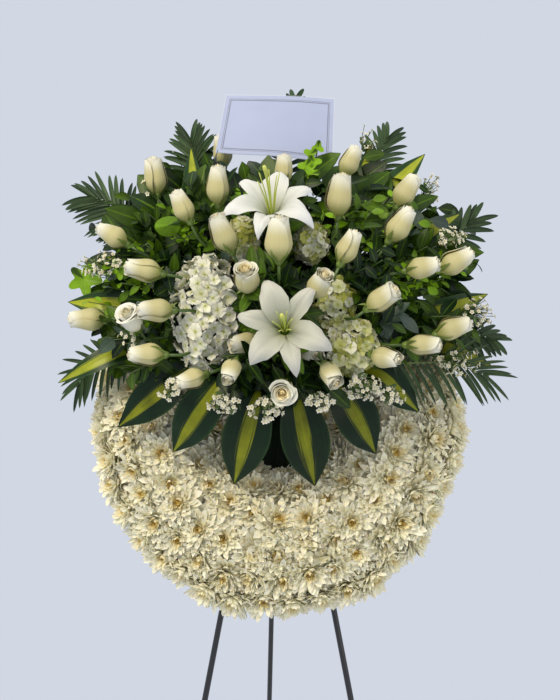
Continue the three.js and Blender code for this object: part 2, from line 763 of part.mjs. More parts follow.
// Filler sprays: pixels of the clusters of tiny flowers
const fillers = {
  filler_left: [[103, 262], [118, 256], [84, 262]],
  filler_right: [[452, 238], [436, 186], [482, 312]],
  filler_lower_left: [[172, 392], [222, 402], [262, 410]],
  filler_lower_right: [[318, 402], [362, 392], [460, 362]],
};

function fillerSpray(clusters, seed, room) {
  const random = seededRandom(seed);
  const places = clusters.map((pixel) => seen(pixel, domeDepth(pixel) - 16));
  const root = rootToward(middleOf(places), room, 3);
  const solids = places.flatMap((place) => {
    const buds = Array.from({ length: 2 }, (_, i) => {
      const way = V(random() - 0.5, -random() * 0.8, random() - 0.5).normalize();
      const from = place.clone().lerp(root.end, 0.09 * i);
      const bud = turned([[0, -3 - room], [7 + room, 3], [0, 9 + room]], 3, 0, 0);
      return set(bud, from, way);
    });
    return [stem([root.end, place], 1.6, 3, room), ...buds];
  });
  return joined([root.solid, ...solids]);
}

// Leafy stems in the gaps: pixels of their tips
const greens = {
  greens_left: [[168, 222], [128, 206], [92, 278], [132, 290], [112, 336], [176, 262]],
  greens_top: [[238, 176], [306, 172], [322, 205], [338, 124], [200, 180], [300, 240]],
  greens_right: [[380, 240], [420, 215], [404, 280], [412, 318], [476, 286], [402, 372]],
};

function leafyStems(tips, seed, room) {
  const random = seededRandom(seed);
  const ends = tips.map((pixel) => seen(pixel, domeDepth(pixel) - 34));
  const root = rootToward(middleOf(ends), room);
  const solids = ends.flatMap((end) => {
    const along = end.clone().sub(root.end).normalize();
    const leaves = Array.from({ length: 3 }, (_, i) => {
      const from = root.end.clone().lerp(end, 0.58 + 0.19 * i);
      const turn = i * 2.4 + random();
      const side = V(Math.cos(turn), -0.7 + 0.5 * random(), Math.sin(turn)).normalize();
      const way = side.addScaledVector(along, 0.5).normalize();
      const long = 40 + 14 * random();
      return leaflet(from, from.clone().addScaledVector(way, long), 13, V(0.1, -1, 0.3), room);
    });
    return [stem([root.end, end], 1.8, 3, room), ...leaves];
  });
  return joined([root.solid, ...solids]);
}

// The card's face leans back, and its long pick stands in the foam
const cardCentre = seen([277, 127], 62);
const cardLean = 14;

function card(room) {
  const columns = 6;
  const points = [];
  const faces = [];
  for (let i = 0; i <= columns; i += 1) {
    for (const up of [-1, 1]) {
      const across = i / columns - 0.5;
      const wave = 3 * Math.cos(across * 7) + up * 1.5;
      points.push(V(across * (cardSize.x + 2 * room), wave, (up * cardSize.y) / 2 + up * room));
    }
    const a = 2 * i;
    if (i < columns) faces.push([a, a + 2, a + 1], [a + 1, a + 2, a + 3]);
  }
  const rim = [];
  for (let i = 0; i <= columns; i += 1) rim.push(2 * i);
  for (let i = columns; i >= 0; i -= 1) rim.push(2 * i + 1);
  const normals = points.map(() => V(0, -1, 0));
  const flat = plate(points, normals, faces, rim, 1.2 + 2 * room);
  return flat.rotate([-cardLean, 1.5, 0]).translate(cardCentre.toArray());
}

function cardPick(room) {
  const behind = cardCentre.clone().add(V(0, 6.5, 0));
  const root = rootToward(behind.clone().add(V(0, 0, -60)), room, 2.6);
  const up = V(0, Math.sin(degrees(cardLean)), Math.cos(degrees(cardLean)));
  return joined([
    root.solid,
    stem([root.end, behind.clone().addScaledVector(up, -48), behind.clone().addScaledVector(up, 30)], 2.2, 6, room),
  ]);
}

// Every piece of the spray in the order that it has its place: what comes later is bent or cut clear
const sprayPieces = [];
const spray = (name, material, build) => sprayPieces.push({ name, material, build });
for (const [name, roses] of Object.entries(roseBunches)) spray(name, 'rose', (room) => roseBunch(roses, room));
for (const [name, place] of Object.entries(lilies)) spray(name, 'lily', (room) => lily(place, room));
for (const [name, heads] of Object.entries(hydrangeas)) {
  spray(name, 'hydrangea', (room) => hydrangea(heads, room));
}
spray('card', 'card', card);
spray('card_pick', 'wood', cardPick);
for (const [name, leaves] of Object.entries(broadLeaves)) {
  spray(name, 'leaf', (room) => broadLeafBunch(leaves, room));
}
for (const [name, frond] of Object.entries(fronds)) spray(name, 'frond', (room) => palmFrond(frond, room));
Object.entries(fillers).forEach(([name, clusters], i) => {
  spray(name, 'filler', (room) => fillerSpray(clusters, 11 + i, room));
});
Object.entries(greens).forEach(([name, tips], i) => {
  spray(name, 'green', (room) => leafyStems(tips, 31 + i, room));
});

function meets(a, b) {
  const [one, other] = [a.boundingBox(), b.boundingBox()];
  return [0, 1, 2].every((axis) => one.min[axis] < other.max[axis] && other.min[axis] < one.max[axis]);
}

function clearedOf(solid, others) {
  const near = others.filter((other) => meets(solid, other));
  return near.reduce((rest, other) => rest.subtract(other), solid);
}

// The wreath's group stands at the ring's centre, and the ring leans back in it
const wreath = new THREE.Group();
wreath.position.z = ringCentreHeight;
const leaning = new THREE.Group();
leaning.rotation.x = -degrees(wreathLean);
wreath.add(leaning);

function add(group, name, solid, material) {
  const mesh = new THREE.Mesh(geometryOf(solid), finishes[material]);
  mesh.name = name;
  group.add(mesh);
}

const beds = Array.from({ length: bedCount }, (_, i) => chrysanthemumBed(i));
beds.forEach((bed, i) => add(leaning, `chrysanthemum_bed_${i + 1}`, bed, 'chrysanthemum'));
add(leaning, 'ring_base', ringBase().subtract(hangingLoop(gap)), 'straw');
add(leaning, 'hanging_loop', hangingLoop(0), 'wire');
add(leaning, 'stand_peg', pegOnHead(0), 'rod');

const rods = {
  leg_front_left: (room) => lean(frontRod(-1, room)),
  leg_front_right: (room) => lean(frontRod(1, room)),
  leg_rear: (room) => rearRod(room),
};
const head = Object.values(rods).reduce((block, rod) => block.subtract(rod(gap)), lean(standHead()));
add(wreath, 'stand_head', largest(head.subtract(lean(pegOnHead(gap)))), 'rod');

const frontFoot = (side) => {
  const down = (ringCentreHeight - rodRadius * Math.sin(degrees(wreathLean))) / Math.cos(degrees(wreathLean));
  const out = side * (legSpreadAtHead + legSlope * (rodTop + down));
  return { centre: leaned(out, rodRadius + gap, -down), axis: leaned(-side * legSlope, 0, 1) };
};
const feet = {
  leg_front_left: frontFoot(-1),
  leg_front_right: frontFoot(1),
  leg_rear: { centre: rearFoot, axis: leaned(0, headDepth - 14, rodTop).sub(rearFoot) },
};
for (const [name, rod] of Object.entries(rods)) {
  const { centre, axis } = feet[name];
  const rodLift = 5;
  add(wreath, name, aboveFloor(rod(0), rodLift), 'rod');
  const hole = aboveFloor(rod(gap), rodLift - gap);
  add(wreath, name.replace('leg', 'foot'), foot(axis, hole, centre), 'rubber');
}
add(wreath, 'back_leaves', backLeaves(), 'leaf');

const taken = beds.map(lean);
for (const { name, material, build } of sprayPieces) {
  const piece = largest(clearedOf(build(0), taken));
  add(wreath, name, piece, material);
  taken.push(build(gap));
}
add(wreath, 'foam', largest(clearedOf(foamDome(), taken)), 'foam');

// The origin is on the floor under the middle of the whole
const whole = new THREE.Group();
whole.add(wreath);
whole.updateMatrixWorld(true);
const bounds = new THREE.Box3().setFromObject(whole, true);
wreath.position.x -= (bounds.min.x + bounds.max.x) / 2;
wreath.position.y -= (bounds.min.y + bounds.max.y) / 2;
wreath.position.z -= bounds.min.z;

export default whole;
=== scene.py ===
# A funeral wreath on its three-legged stand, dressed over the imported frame
import math
import bpy
import numpy as np
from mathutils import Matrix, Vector


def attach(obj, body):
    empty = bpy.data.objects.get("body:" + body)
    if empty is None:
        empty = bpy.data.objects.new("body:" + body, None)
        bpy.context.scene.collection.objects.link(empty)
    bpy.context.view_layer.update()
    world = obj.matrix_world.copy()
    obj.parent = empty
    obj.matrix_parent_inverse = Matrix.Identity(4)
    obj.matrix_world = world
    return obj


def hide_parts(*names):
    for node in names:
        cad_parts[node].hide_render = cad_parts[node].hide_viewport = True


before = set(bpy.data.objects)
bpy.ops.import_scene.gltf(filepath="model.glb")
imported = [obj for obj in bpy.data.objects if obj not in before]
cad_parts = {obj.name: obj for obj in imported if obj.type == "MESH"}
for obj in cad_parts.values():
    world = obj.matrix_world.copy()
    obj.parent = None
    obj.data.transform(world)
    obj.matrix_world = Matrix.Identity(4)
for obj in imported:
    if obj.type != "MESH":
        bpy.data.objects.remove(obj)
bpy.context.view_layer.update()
print("frame loaded")

goldenTurn = math.pi * (3 - math.sqrt(5))

# The wreath's own axes are in mm from the ring's centre, upright, with the ring leaning back in them
wreath = {
    "place": (-0.01106, -0.02295, 1.05),  # the ring's centre on the part, in metres
    "lean": 10,
    "inner": 96,
    "outer": 312,
    "depth": 72,
    "front": 68.5,
    "foamHalf": (160, 104, 116),
    "foamHeight": 178,
}

# The view that the tables below give their places in
view = {"distance": 1500, "scale": 1.86, "middle": (280, 350), "ring": (278, 428)}


def seen(pixel, depth):
    scale = view["scale"] * (1 - depth / view["distance"])
    x = (view["middle"][0] - view["ring"][0]) * view["scale"] + (pixel[0] - view["middle"][0]) * scale
    z = (view["ring"][1] - view["middle"][1]) * view["scale"] + (view["middle"][1] - pixel[1]) * scale
    return np.array([x, -depth, z])


def domeDepth(pixel):
    across, up = (pixel[0] - 282) / 205, (pixel[1] - 300) / 165
    return 105 + 180 * math.sqrt(max(0, 1 - across * across - up * up)) - 0.25 * (300 - pixel[1])


def leaned(points):
    p = np.asarray(points, float)
    c, s = math.cos(math.radians(wreath["lean"])), math.sin(math.radians(wreath["lean"]))
    return np.stack([p[..., 0], p[..., 1] * c + p[..., 2] * s, p[..., 2] * c - p[..., 1] * s], -1)


def unit(v):
    v = np.asarray(v, float)
    return v / np.maximum(np.linalg.norm(v, axis=-1, keepdims=True), 1e-9)


def pointing(angle, toward):
    a, t = math.radians(angle), math.radians(toward)
    return np.array([math.cos(t) * math.cos(a), -math.sin(t), math.cos(t) * math.sin(a)])


# Turns +Z to an axis, then spins about it
def turnTo(axis, spin=0.0):
    tilt = np.array(Vector((0, 0, 1)).rotation_difference(Vector(axis)).to_matrix())
    c, s = math.cos(spin), math.sin(spin)
    return tilt @ np.array([[c, -s, 0], [s, c, 0], [0, 0, 1]])


def placed(points, axis, place, spin=0.0):
    return points @ turnTo(axis, spin).T + place


# A smooth line through points, with its points an even way apart
def smoothPath(points, count):
    p = np.asarray(points, float)
    p = np.vstack([2 * p[0] - p[1], p, 2 * p[-1] - p[-2]])
    t = np.linspace(0, 1, 24)[:, None]
    parts = []
    for a, b, c, d in zip(p[:-3], p[1:-2], p[2:-1], p[3:]):
        parts.append(0.5 * (2 * b + (c - a) * t + (2 * a - 5 * b + 4 * c - d) * t**2
                            + (3 * b - a - 3 * c + d) * t**3))
    line = np.vstack(parts)
    run = np.concatenate([[0], np.cumsum(np.linalg.norm(np.diff(line, axis=0), axis=1))])
    at = np.linspace(0, run[-1], count)
    return np.stack([np.interp(at, run, line[:, i]) for i in range(3)], -1)


# A pile gathers the sheets and tubes of one piece
def newPile():
    return {"points": [], "faces": [], "petal": [], "shade": [], "material": [], "count": 0}


def addSheets(pile, grids, shade=(0.5, 0.0), material=0, closed=False):
    grids = np.asarray(grids, float)
    sheets, rows, columns = grids.shape[:3]
    index = np.arange(rows * columns).reshape(rows, columns)
    left = index if closed else index[:, :-1]
    right = np.roll(index, -1, axis=1) if closed else index[:, 1:]
    quads = np.stack([left[:-1], right[:-1], right[1:], left[1:]], -1).reshape(-1, 4)
    starts = pile["count"] + np.arange(sheets) * rows * columns
    faces = (quads[None] + starts[:, None, None]).reshape(-1, 4)
    along, across = np.meshgrid(np.linspace(0, 1, rows), np.linspace(0, 1, columns), indexing="ij")
    shades = np.broadcast_to(np.asarray(shade, float), (sheets, 2))
    pile["points"].append(grids.reshape(-1, 3))
    pile["faces"].append(faces)
    pile["petal"].append(np.tile(np.stack([across, along], -1).reshape(-1, 2), (sheets, 1)))
    pile["shade"].append(np.repeat(shades, rows * columns, axis=0))
    pile["material"].append(np.full(len(faces), material))
    pile["count"] += sheets * rows * columns


# Round tubes along paths of the same number of points, closed at both ends
def addTubes(pile, paths, radii, sides=8, shade=(0.5, 0.0), material=0):
    paths = np.asarray(paths, float)
    radii = np.broadcast_to(np.asarray(radii, float), paths.shape[:2])
    paths = np.concatenate([paths[:, :1], paths, paths[:, -1:]], 1)
    radii = np.concatenate([radii[:, :1] * 0.02, radii, radii[:, -1:] * 0.02], 1)
    along = unit(np.gradient(paths, axis=1) + 1e-9)
    across = unit(np.cross(along, np.array([0.31, -0.9, 0.27])))
    normal = np.cross(across, along)
    turn = 2 * math.pi * np.arange(sides) / sides
    ring = across[:, :, None] * np.cos(turn)[:, None] + normal[:, :, None] * np.sin(turn)[:, None]
    addSheets(pile, paths[:, :, None] + ring * radii[:, :, None, None], shade, material, closed=True)


# Rows of [radius, height] turned round +Z
def turnedRows(rows, sides=24):
    turn = 2 * math.pi * np.arange(sides) / sides
    radius, height = np.array(rows, float).T
    return np.stack([radius[:, None] * np.cos(turn), radius[:, None] * np.sin(turn),
                     np.repeat(height[:, None], sides, 1)], -1)[None]


def finishPile(pile, name, materials, slot, *nodes):
    points = np.concatenate(pile["points"]) * 0.001 + np.array(wreath["place"])
    faces = np.concatenate(pile["faces"]).astype(np.int32)
    mesh = bpy.data.meshes.new(name)
    mesh.vertices.add(len(points))
    mesh.vertices.foreach_set("co", points.ravel().astype(np.float32))
    mesh.loops.add(faces.size)
    mesh.loops.foreach_set("vertex_index", faces.ravel())
    mesh.polygons.add(len(faces))
    mesh.polygons.foreach_set("loop_start", np.arange(0, faces.size, 4, dtype=np.int32))
    mesh.polygons.foreach_set("material_index", np.concatenate(pile["material"]).astype(np.int32))
    mesh.polygons.foreach_set("use_smooth", np.ones(len(faces), bool))
    mesh.update(calc_edges=True)
    for key in ("petal", "shade"):
        layer = mesh.uv_layers.new(name=key)
        layer.data.foreach_set("uv", np.concatenate(pile[key])[faces.ravel()].ravel().astype(np.float32))
    for material in materials:
        mesh.materials.append(material)
    piece = bpy.data.objects.new(name, mesh)
    bpy.context.scene.collection.objects.link(piece)
    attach(piece, "root")
    if nodes:
        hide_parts(*nodes)
    return piece


# Colours are given as they look on a screen
def tone(r, g, b):
    return tuple((c / 255 / 12.92 if c <= 10 else ((c / 255 + 0.055) / 1.055) ** 2.4) for c in (r, g, b)) + (1,)


def addNode(tree, kind, inputs=None, **settings):
    made = tree.nodes.new(kind)
    for key, value in settings.items():
        setattr(made, key, value)
    for key, value in (inputs or {}).items():
        if isinstance(value, bpy.types.NodeSocket):
            tree.links.new(value, made.inputs[key])
        else:
            made.inputs[key].default_value = value
    return made


def calc(tree, operation, a, b=0.0):
    return addNode(tree, "ShaderNodeMath", {0: a, 1: b}, operation=operation).outputs[0]


def ramp(tree, value, start, end):
    return addNode(tree, "ShaderNodeMapRange", {"Value": value, "From Min": start, "From Max": end},
                   interpolation_type="SMOOTHSTEP").outputs[0]


def blendTones(tree, factor, a, b, kind="MIX"):
    made = addNode(tree, "ShaderNodeMix", {0: factor, 6: a, 7: b}, data_type="RGBA", blend_type=kind)
    return made.outputs[2]


def newGroup(name, inputs, outputs):
    group = bpy.data.node_groups.new(name, "ShaderNodeTree")
    for label, value in inputs.items():
        kind = "NodeSocketColor" if isinstance(value, tuple) else "NodeSocketFloat"
        group.interface.new_socket(label, in_out="INPUT", socket_type=kind).default_value = value
    for label, kind in outputs.items():
        group.interface.new_socket(label, in_out="OUTPUT", socket_type=kind)
    return group, group.nodes.new("NodeGroupInput").outputs, group.nodes.new("NodeGroupOutput").inputs


def uvParts(tree, name):
    uv = addNode(tree, "ShaderNodeUVMap", uv_map=name).outputs[0]
    parts = addNode(tree, "ShaderNodeSeparateXYZ", {0: uv}).outputs
    return parts[0], parts[1]


# Petals: from root to tip, outer tiers to heart, with fine veins and bruised edges
def makePetalTones():
    white = (1.0, 1.0, 1.0, 1.0)
    group, given, out = newGroup(
        "petalTones",
        {"Root": white, "Middle": white, "Tip": white, "Heart": white, "Bruise": white, "Root Reach": 0.35,
         "Heart Start": 0.4, "Mottle": 0.15, "Bruising": 0.15, "Veins": 26.0},
        {"Colour": "NodeSocketColor", "Height": "NodeSocketFloat"})
    across, along = uvParts(group, "petal")
    random, tier = uvParts(group, "shade")
    vein = addNode(group, "ShaderNodeCombineXYZ", {
        0: calc(group, "MULTIPLY", across, given["Veins"]), 1: calc(group, "MULTIPLY", along, 2.0),
        2: calc(group, "MULTIPLY", random, 40.0)}).outputs[0]
    lines = addNode(group, "ShaderNodeTexNoise", {"Vector": vein, "Scale": 1.0, "Detail": 2.0}).outputs[0]
    place = addNode(group, "ShaderNodeTexCoord").outputs["Object"]
    spots = addNode(group, "ShaderNodeTexNoise", {"Vector": place, "Scale": 90.0, "Detail": 3.0}).outputs[0]
    colour = blendTones(group, ramp(group, along, 0.0, given["Root Reach"]), given["Root"], given["Middle"])
    colour = blendTones(group, ramp(group, along, 0.55, 1.0), colour, given["Tip"])
    colour = blendTones(group, ramp(group, tier, given["Heart Start"], 1.0), colour, given["Heart"])
    edge = calc(group, "MULTIPLY", ramp(group, calc(group, "ADD", spots, calc(group, "MULTIPLY", along, 0.3)),
                                        0.72, 0.95), given["Bruising"])
    colour = blendTones(group, edge, colour, given["Bruise"])
    swing = calc(group, "MULTIPLY", calc(group, "SUBTRACT", random, 0.6), given["Mottle"])
    swing = calc(group, "ADD", swing, calc(group, "MULTIPLY", calc(group, "SUBTRACT", lines, 0.5), 0.16))
    bright = addNode(group, "ShaderNodeHueSaturation", {"Value": calc(group, "ADD", 1.0, swing), "Color": colour})
    group.links.new(bright.outputs[0], out["Colour"])
    group.links.new(calc(group, "ADD", lines, calc(group, "MULTIPLY", spots, 0.3)), out["Height"])
    return group


# Leaves: a paler midrib, fine veins side to side, a stripe down the middle and a worn edge
def makeLeafTones():
    green = (0.1, 0.3, 0.1, 1.0)
    group, given, out = newGroup(
        "leafTones",
        {"Blade": green, "Young": green, "Stripe": green, "Edge": green, "Stripe Width": 0.0,
         "Stripe Streaks": 0.12, "Midrib": 0.3, "Veins": 14.0, "Slant": 1.0, "Edge Width": 0.06},
        {"Colour": "NodeSocketColor", "Height": "NodeSocketFloat", "Stripe Mask": "NodeSocketFloat"})
    across, along = uvParts(group, "petal")
    random, paleShare = uvParts(group, "shade")
    off = calc(group, "ABSOLUTE", calc(group, "SUBTRACT", across, 0.5))
    streak = addNode(group, "ShaderNodeCombineXYZ", {
        0: calc(group, "MULTIPLY", across, 34.0), 1: calc(group, "MULTIPLY", along, 1.6),
        2: calc(group, "MULTIPLY", random, 60.0)}).outputs[0]
    streaks = addNode(group, "ShaderNodeTexNoise", {"Vector": streak, "Scale": 1.0, "Detail": 3.0}).outputs[0]
    wander = calc(group, "MULTIPLY", calc(group, "SUBTRACT", streaks, 0.5), given["Stripe Streaks"])
    shy = calc(group, "ADD", off, wander)
    inside = calc(group, "SUBTRACT", 1.0, ramp(
        group, calc(group, "SUBTRACT", shy, given["Stripe Width"]), -0.05, 0.015))
    taper = calc(group, "MULTIPLY", ramp(group, along, 0.0, 0.1), calc(group, "SUBTRACT", 1.0, ramp(
        group, along, 0.975, 1.0)))
    stripe = calc(group, "MULTIPLY", calc(group, "MULTIPLY", inside, taper), ramp(
        group, given["Stripe Width"], 0.0, 0.02))
    place = addNode(group, "ShaderNodeTexCoord").outputs["Object"]
    cloud = addNode(group, "ShaderNodeTexNoise", {"Vector": place, "Scale": 35.0, "Detail": 4.0}).outputs[0]
    colour = blendTones(group, paleShare, given["Blade"], given["Young"])
    rib = calc(group, "MULTIPLY", calc(group, "SUBTRACT", 1.0, ramp(group, off, 0.0, 0.07)), given["Midrib"])
    colour = blendTones(group, rib, colour, given["Young"])
    colour = blendTones(group, stripe, colour, given["Stripe"])
    rim = calc(group, "MULTIPLY", ramp(group, calc(group, "ADD", off, given["Edge Width"]), 0.48, 0.54), 0.8)
    colour = blendTones(group, rim, colour, given["Edge"])
    swing = calc(group, "ADD", calc(group, "MULTIPLY", calc(group, "SUBTRACT", random, 0.5), 0.5),
                 calc(group, "SUBTRACT", cloud, 0.5))
    swing = calc(group, "ADD", swing, calc(group, "MULTIPLY", calc(group, "SUBTRACT", streaks, 0.5), 0.7))
    bright = addNode(group, "ShaderNodeHueSaturation", {"Value": calc(group, "ADD", 1.0, swing), "Color": colour})
    group.links.new(bright.outputs[0], out["Colour"])
    slant = calc(group, "MULTIPLY", calc(group, "SUBTRACT", along, calc(group, "MULTIPLY", off, given["Slant"])),
                 given["Veins"])
    veins = calc(group, "ABSOLUTE", calc(group, "SINE", calc(group, "MULTIPLY", slant, math.pi)))
    height = calc(group, "ADD", calc(group, "MULTIPLY", ramp(group, veins, 0.0, 0.35), 0.4),
                  calc(group, "ADD", calc(group, "MULTIPLY", streaks, 0.6), ramp(group, off, 0.0, 0.05)))
    group.links.new(height, out["Height"])
    group.links.new(stripe, out["Stripe Mask"])
    return group


# Grain: a noise of two sizes, for straw, foam, wood, paint and paper
def makeGrain():
    grey = (0.5, 0.5, 0.5, 1.0)
    group, given, out = newGroup(
        "grain",
        {"Light": grey, "Dark": grey, "Scale": 400.0, "Stretch": 1.0, "Patches": 20.0, "Contrast": 1.0},
        {"Colour": "NodeSocketColor", "Mask": "NodeSocketFloat", "Height": "NodeSocketFloat"})
    place = addNode(group, "ShaderNodeTexCoord").outputs["Object"]
    parts = addNode(group, "ShaderNodeSeparateXYZ", {0: place}).outputs
    stretched = addNode(group, "ShaderNodeCombineXYZ", {
        0: parts[0], 1: parts[1], 2: calc(group, "MULTIPLY", parts[2], given["Stretch"])}).outputs[0]
    fine = addNode(group, "ShaderNodeTexNoise", {"Vector": stretched, "Scale": given["Scale"], "Detail": 3.0})
    broad = addNode(group, "ShaderNodeTexNoise", {"Vector": place, "Scale": given["Patches"], "Detail": 3.0})
    both = calc(group, "ADD", calc(group, "MULTIPLY", fine.outputs[0], 0.6),
                calc(group, "MULTIPLY", broad.outputs[0], 0.4))
    mask = ramp(group, calc(group, "ADD", calc(group, "MULTIPLY", calc(
        group, "SUBTRACT", both, 0.5), given["Contrast"]), 0.5), 0.25, 0.75)
    group.links.new(blendTones(group, mask, given["Dark"], given["Light"]), out["Colour"])
    group.links.new(mask, out["Mask"])
    group.links.new(fine.outputs[0], out["Height"])
    return group


petalTones = makePetalTones()
leafTones = makeLeafTones()
grain = makeGrain()


def newMaterial(name, group, groupValues, bump, **values):
    material = bpy.data.materials.new(name)
    material.use_nodes = True
    tree = material.node_tree
    shader = tree.nodes["Principled BSDF"]
    for key, value in values.items():
        shader.inputs[key].default_value = value
    effect = tree.nodes.new("ShaderNodeGroup")
    effect.node_tree = group
    for key, value in groupValues.items():
        effect.inputs[key].default_value = value
    tree.links.new(effect.outputs["Colour"], shader.inputs["Base Color"])
    strength, distance = bump
    relief = addNode(tree, "ShaderNodeBump", {"Strength": strength, "Distance": distance,
                                              "Height": effect.outputs["Height"]})
    tree.links.new(relief.outputs[0], shader.inputs["Normal"])
    return material


def petalMaterial(name, root, middle, tip, heart, bump=(0.35, 0.0004), values=None, **settings):
    toneValues = {"Root": tone(*root), "Middle": tone(*middle), "Tip": tone(*tip), "Heart": tone(*heart),
                  "Bruise": tone(196, 170, 110)}
    toneValues.update(settings)
    looks = {"Roughness": 0.55, "Specular IOR Level": 0.3, "Subsurface Weight": 0.12,
             "Subsurface Scale": 0.004, "Subsurface Radius": (1.0, 0.85, 0.6), "Sheen Weight": 0.1}
    looks.update(values or {})
    return newMaterial(name, petalTones, toneValues, bump, **looks)


def leafMaterial(name, blade, paleGreen, bump=(0.4, 0.0006), values=None, **settings):
    toneValues = {"Blade": tone(*blade), "Young": tone(*paleGreen), "Edge": tone(*blade)}
    toneValues.update(settings)
    looks = {"Roughness": 0.38, "Specular IOR Level": 0.5, "Coat Weight": 0.15, "Coat Roughness": 0.3}
    looks.update(values or {})
    return newMaterial(name, leafTones, toneValues, bump, **looks)


def grainMaterial(name, light, shadePatches, scale, bump, values=None, **settings):
    toneValues = {"Light": tone(*light), "Dark": tone(*shadePatches), "Scale": scale}
    toneValues.update(settings)
    return newMaterial(name, grain, toneValues, bump, **(values or {}))


mumPetal = petalMaterial("mumPetal", (254, 238, 178), (254, 249, 218), (253, 248, 224), (244, 216, 112),
                         Mottle=0.08, Bruising=0.08, values={"Subsurface Weight": 0.4},
                         **{"Root Reach": 0.42, "Heart Start": 0.5})
rosePetal = petalMaterial("rosePetal", (152, 156, 82), (190, 183, 132), (230, 229, 211), (254, 234, 176),
                          Mottle=0.12, Bruising=0.08, **{"Root Reach": 0.42, "Heart Start": 0.3})
whiteRosePetal = petalMaterial("whiteRosePetal", (200, 200, 150), (226, 224, 204), (236, 236, 222),
                               (232, 222, 180), Mottle=0.1, Bruising=0.06)
lilyPetal = petalMaterial("lilyPetal", (146, 158, 46), (207, 209, 201), (224, 226, 224), (207, 209, 201),
                          Mottle=0.06, Bruising=0.0, Veins=12.0, **{"Root Reach": 0.5}, bump=(0.5, 0.001))
shadyLilyPetal = petalMaterial("shadyLilyPetal", (130, 142, 40), (181, 182, 166), (202, 201, 190), (181, 182, 166),
                               Mottle=0.06, Bruising=0.0, Veins=12.0, **{"Root Reach": 0.5}, bump=(0.5, 0.001))
lilyStamen = petalMaterial("lilyStamen", (148, 170, 40), (176, 190, 66), (196, 204, 104), (196, 206, 92))
hydrangeaPetal = petalMaterial("hydrangeaPetal", (198, 202, 144), (222, 222, 198), (236, 236, 224),
                               (164, 168, 66), Mottle=0.2, Bruising=0.25, Veins=10.0,
                               **{"Root Reach": 0.4, "Heart Start": 0.2})
fillerPetal = petalMaterial("fillerPetal", (190, 186, 100), (216, 213, 192), (228, 226, 208), (196, 178, 76),
                            Mottle=0.1, Bruising=0.1)
stemGreen = leafMaterial("stemGreen", (44, 74, 22), (98, 122, 44), Veins=4.0)
sepalGreen = leafMaterial("sepalGreen", (74, 102, 36), (132, 148, 70), Veins=6.0)
dull = {"Specular IOR Level": 0.12, "Coat Weight": 0.0}
stripedLeaf = leafMaterial("stripedLeaf", (13, 36, 15), (28, 54, 24), Stripe=tone(124, 130, 22),
                           Edge=tone(36, 60, 24), values={"Roughness": 0.3, "Specular IOR Level": 0.18,
                                                          "Coat Weight": 0.02},
                           Veins=0.0, **{"Stripe Width": 0.15, "Edge Width": 0.05, "Stripe Streaks": 0.34,
                                         "Midrib": 0.1})
paleStripedLeaf = leafMaterial("paleStripedLeaf", (24, 52, 18), (52, 82, 28), Stripe=tone(146, 154, 34),
                               Edge=tone(60, 84, 28), values={"Roughness": 0.34, "Specular IOR Level": 0.2},
                               Veins=0.0, **{"Stripe Width": 0.27, "Edge Width": 0.04, "Stripe Streaks": 0.42,
                                             "Midrib": 0.1})
# near-black, dull green for the leaves behind the hole: partly the leaves' own dark colour, partly painted shade
darkLeaf = leafMaterial("darkLeaf", (10, 22, 10), (30, 50, 22), Veins=0.0, values=dull)
palmLeaf = leafMaterial("palmLeaf", (36, 58, 32), (78, 102, 58), Edge=tone(92, 66, 40), Veins=0.0, values={
    "Roughness": 0.36, "Specular IOR Level": 0.22, "Coat Weight": 0.02}, **{"Midrib": 0.45, "Edge Width": 0.03})
smallLeaf = leafMaterial("smallLeaf", (13, 35, 10), (126, 170, 22), values={
    "Roughness": 0.32, "Specular IOR Level": 0.2, "Coat Weight": 0.03})
greyLeaf = leafMaterial("greyLeaf", (56, 76, 62), (110, 128, 108), values={"Roughness": 0.55})
straw = grainMaterial("straw", (206, 178, 116), (112, 84, 42), 320.0, (0.9, 0.003),
                      values={"Roughness": 0.85}, Stretch=0.3, Contrast=1.6)
twine = grainMaterial("twine", (176, 170, 148), (112, 104, 84), 900.0, (0.6, 0.0008), values={"Roughness": 0.8})
foamGreen = grainMaterial("foamGreen", (58, 92, 54), (26, 50, 30), 520.0, (0.9, 0.002),
                          values={"Roughness": 0.95}, Contrast=1.3)
blackPaint = grainMaterial("blackPaint", (26, 26, 29), (15, 15, 17), 260.0, (0.15, 0.0004),
                           values={"Roughness": 0.34, "Coat Weight": 0.3}, Patches=30.0)
rubberBlack = grainMaterial("rubberBlack", (34, 34, 35), (20, 20, 21), 700.0, (0.3, 0.0005),
                            values={"Roughness": 0.82})
wireSteel = grainMaterial("wireSteel", (176, 178, 180), (120, 122, 126), 500.0, (0.2, 0.0003),
                          values={"Metallic": 1.0, "Roughness": 0.35})
pickWood = grainMaterial("pickWood", (206, 180, 134), (160, 130, 86), 500.0, (0.4, 0.0006),
                         values={"Roughness": 0.7}, Stretch=0.12)
print("materials made")


def lineProfile(t, stops, values):
    curve = smoothPath(np.stack([stops, values, np.zeros(len(stops))], -1), 80)
    return np.interp(t, curve[:, 0], np.maximum(curve[:, 1], 0.01))


# Chrysanthemums: six rows round the ring, each head with tiers of narrow petals and a tight heart
mum = {
    "rowAngles": (22, 45, 70, 95, 120, 145),
    "pitch": 47,
    "seed": 7,
    "lift": 2,
    "tiers": (  # petals, length, width, rise in degrees, curl in degrees, root height, root radius
        (24, 46, 12, 1, 6, 0, 3),
        (25, 43, 11.5, 13, 12, 2, 3),
        (24, 37, 10.2, 26, 16, 4, 3),
        (22, 30, 8.4, 40, 22, 6, 3),
        (17, 22, 5.8, 54, 28, 8, 3),
        (14, 15, 4.2, 66, 34, 9, 3.4),
        (10, 11, 3.2, 76, 30, 10, 1.8),
    ),
}


